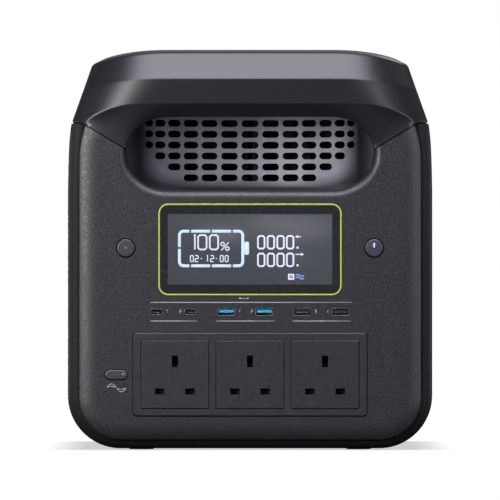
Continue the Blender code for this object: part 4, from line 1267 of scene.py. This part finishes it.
def panel_marks():
    """The rules, figures and symbols printed on the front."""
    y = PRINT_Y
    shape = Shape()
    rules = [(-73.1, 74.4, 108.3), (-73.1, -38.8, 94.6), (-24.6, 17.9, 94.6), (31.3, 74.1, 94.6)]
    for low_x, high_x, z in rules:
        ribbon(shape, [(low_x, z), (high_x, z)], 0.62, y)
    for key, x in (("1", -61.3), ("2", -51.1), ("1", -8.1), ("2", 1.2), ("3", 48.1), ("4", 57.0)):
        glyph(shape, key, (x - 0.75, 100.4), (x + 0.75, 103.0), 0.42, y)
    ribbon(shape, [(-7.2, 111.2), (-1.9, 111.2)], 0.5, y)
    polygon(shape, circle((-7.2, 111.2), 0.8, 12), y)
    polygon(shape, [(-1.9, 112.1), (-0.3, 111.2), (-1.9, 110.3)], y)
    for lift in (2.9, 1.1):
        ribbon(shape, wave_line(-105.4, 45.6, 14.8, lift), 0.5, y)
    mark_piece("printed_marks", shape, PRINT)


def rear_marks():
    """A wave over the mains inlet, and a bar over a broken bar beside each direct-current socket."""
    y = -PRINT_Y
    width = 0.6
    shape = Shape()
    x, z = middle_and_half("ac_inlet")[0]
    ribbon(shape, wave_line(x - 4.5, z + 17.5, 9, 1.8), width, y)
    for key, above in (("solar_inlet", 14.5), ("dc_jack_1", 10), ("dc_jack_2", 10), ("car_socket", 24)):
        x, z = middle_and_half(key)[0]
        ribbon(shape, [(x - 3, z + above), (x + 3, z + above)], width, y)
        for dash in (-2.2, 0, 2.2):
            ribbon(shape, [(x + dash - 0.7, z + above - 1.6), (x + dash + 0.7, z + above - 1.6)], width, y)
    mark_piece("rear_marks", shape, PRINT, facing=1)


# ---- the CAD nodes that stay


def keep_cad(material, width, *names):
    """CAD nodes that keep their shape, and get rounded edges and a material."""
    for name in names:
        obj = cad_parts[name]
        obj.data.materials.clear()
        obj.data.materials.append(material)
        softened(obj, width, 30)


def carried_over():
    keep_cad(SOCKET, 0.15, "outlet_frame", *[f"socket_module_{i}" for i in (1, 2, 3)])
    keep_cad(SHUTTER, 0.2, *[f"socket_shutter_{i}" for i in (1, 2, 3)])
    for end in ("front", "rear"):
        keep_cad(RUBBER, 0.5, f"foot_{end}_left", f"foot_{end}_right")
    keep_cad(PORT_BLACK, 0.3, "car_socket", "dc_jack_1", "dc_jack_2")
    keep_cad(PORT_BLACK, 0.3, "ac_inlet", "solar_inlet", "breaker_body")
    keep_cad(RUBBER, 0.5, "car_socket_cap", "wiring_loom")
    keep_cad(RESET, 0.3, "breaker_reset_button")
    keep_cad(INNER_BLACK, 0.2, *[f"fan_{part}_{i}" for part in ("frame", "rotor") for i in (1, 2, 3, 4)])
    keep_cad(INNER_BLACK, 0.3, "air_duct")
    keep_cad(WRAP, 1.5, "battery_pack_1", "battery_pack_2")
    keep_cad(BOARD, 0.1, "bms_board", "inverter_board", "charger_board", "port_board")
    keep_cad(METAL, 0.3, "chassis_frame", "heatsink")
    keep_cad(COPPER, 0.2, "busbar_positive", "busbar_negative")
    keep_cad(CORE, 1.0, "transformer")


# ---- studio


def by_camera_ray(tree, output, unseen, seen):
    """One shader for the light and another for the camera's own rays."""
    share = add(tree, "LightPath").outputs["Is Camera Ray"]
    chosen = add(tree, "MixShader", {0: share, 1: unseen.outputs[0], 2: seen.outputs[0]})
    add(tree, output, {"Surface": chosen.outputs[0]})


def floor_material():
    """A white sweep, lit from within for the camera, with a painted soft shadow where the object stands; it
    throws little light back at the object.
    """
    material = bpy.data.materials.new("pale_floor")
    material.use_nodes = True
    tree = material.node_tree
    tree.nodes.clear()
    # Painted shadow: the glow dims where the object stands close over the floor.
    near = add(tree, "AmbientOcclusion", {"Distance": 0.03}, samples=16)
    shade = ranged(tree, near.outputs["AO"], 0.35, 1, 0.62, 1.03)
    paper = ranged(tree, noise(tree, object_place(tree), PAPER_SCALE), 0, 1, 0.99, 1)
    glow = add(tree, "Emission", {"Strength": worked_out(tree, "MULTIPLY", shade, paper)})
    dull = add(tree, "BsdfDiffuse", {"Color": (0.05, 0.05, 0.05)})
    by_camera_ray(tree, "OutputMaterial", dull, glow)
    return material


def floor():
    shape = Shape()
    corners = ((-1, -1), (1, -1), (1, 1), (-1, 1))
    shape.face([(FLOOR_REACH * x, FLOOR_REACH * y, 0) for x, y in corners])
    ground = shape.object("studio_floor", (0, 0, 1))
    ground.data.materials.append(floor_material())


def room():
    """White to the camera, and a dim cool light to the object."""
    world = bpy.data.worlds.new("studio_world")
    bpy.context.scene.world = world
    world.use_nodes = True
    tree = world.node_tree
    tree.nodes.clear()
    seen = add(tree, "Background", {"Color": (1, 1, 1)})
    felt = add(tree, "Background", {"Color": (0.85, 0.9, 1.0), "Strength": ROOM_LIGHT})
    by_camera_ray(tree, "OutputWorld", felt, seen)


def softbox(name, place, size, power, aim, colour):
    light = bpy.data.lights.new(name, "AREA")
    light.color = colour
    light.shape = "RECTANGLE"
    light.size, light.size_y = size
    light.energy = power
    obj = bpy.data.objects.new(name, light)
    obj.location = place
    way = Vector(aim) - Vector(place)
    obj.rotation_euler = way.to_track_quat("-Z", "Y").to_euler()
    obj.visible_camera = False
    bpy.context.scene.collection.objects.link(obj)


def camera():
    """A long lens level with the middle of the front, framing a little more than the object."""
    data = bpy.data.cameras.new("camera")
    data.sensor_width = SENSOR_WIDTH
    data.lens = SENSOR_WIDTH * CAMERA_AWAY / FRAME_WIDTH
    data.clip_end = 100
    obj = bpy.data.objects.new("camera", data)
    obj.location = (0, FACE_Y * MM - CAMERA_AWAY, CAMERA_HEIGHT)
    obj.rotation_euler = (math.pi / 2, 0, 0)
    bpy.context.scene.collection.objects.link(obj)
    bpy.context.scene.camera = obj
    bpy.context.scene.view_settings.view_transform = "Standard"


camera()
floor()
room()
for softbox_values in SOFTBOXES:
    softbox(*softbox_values)
top_cover()
front_panel()
rear_panel()
casing_shells()
seam_shade_strips()
grille("front_grille", rear=False)
grille("rear_grille", rear=True)
display()
round_key("screen_button")
round_key("power_button")
key_lenses_and_highlight()
ac_key()
usb_ports()
panel_marks()
rear_marks()
carried_over()
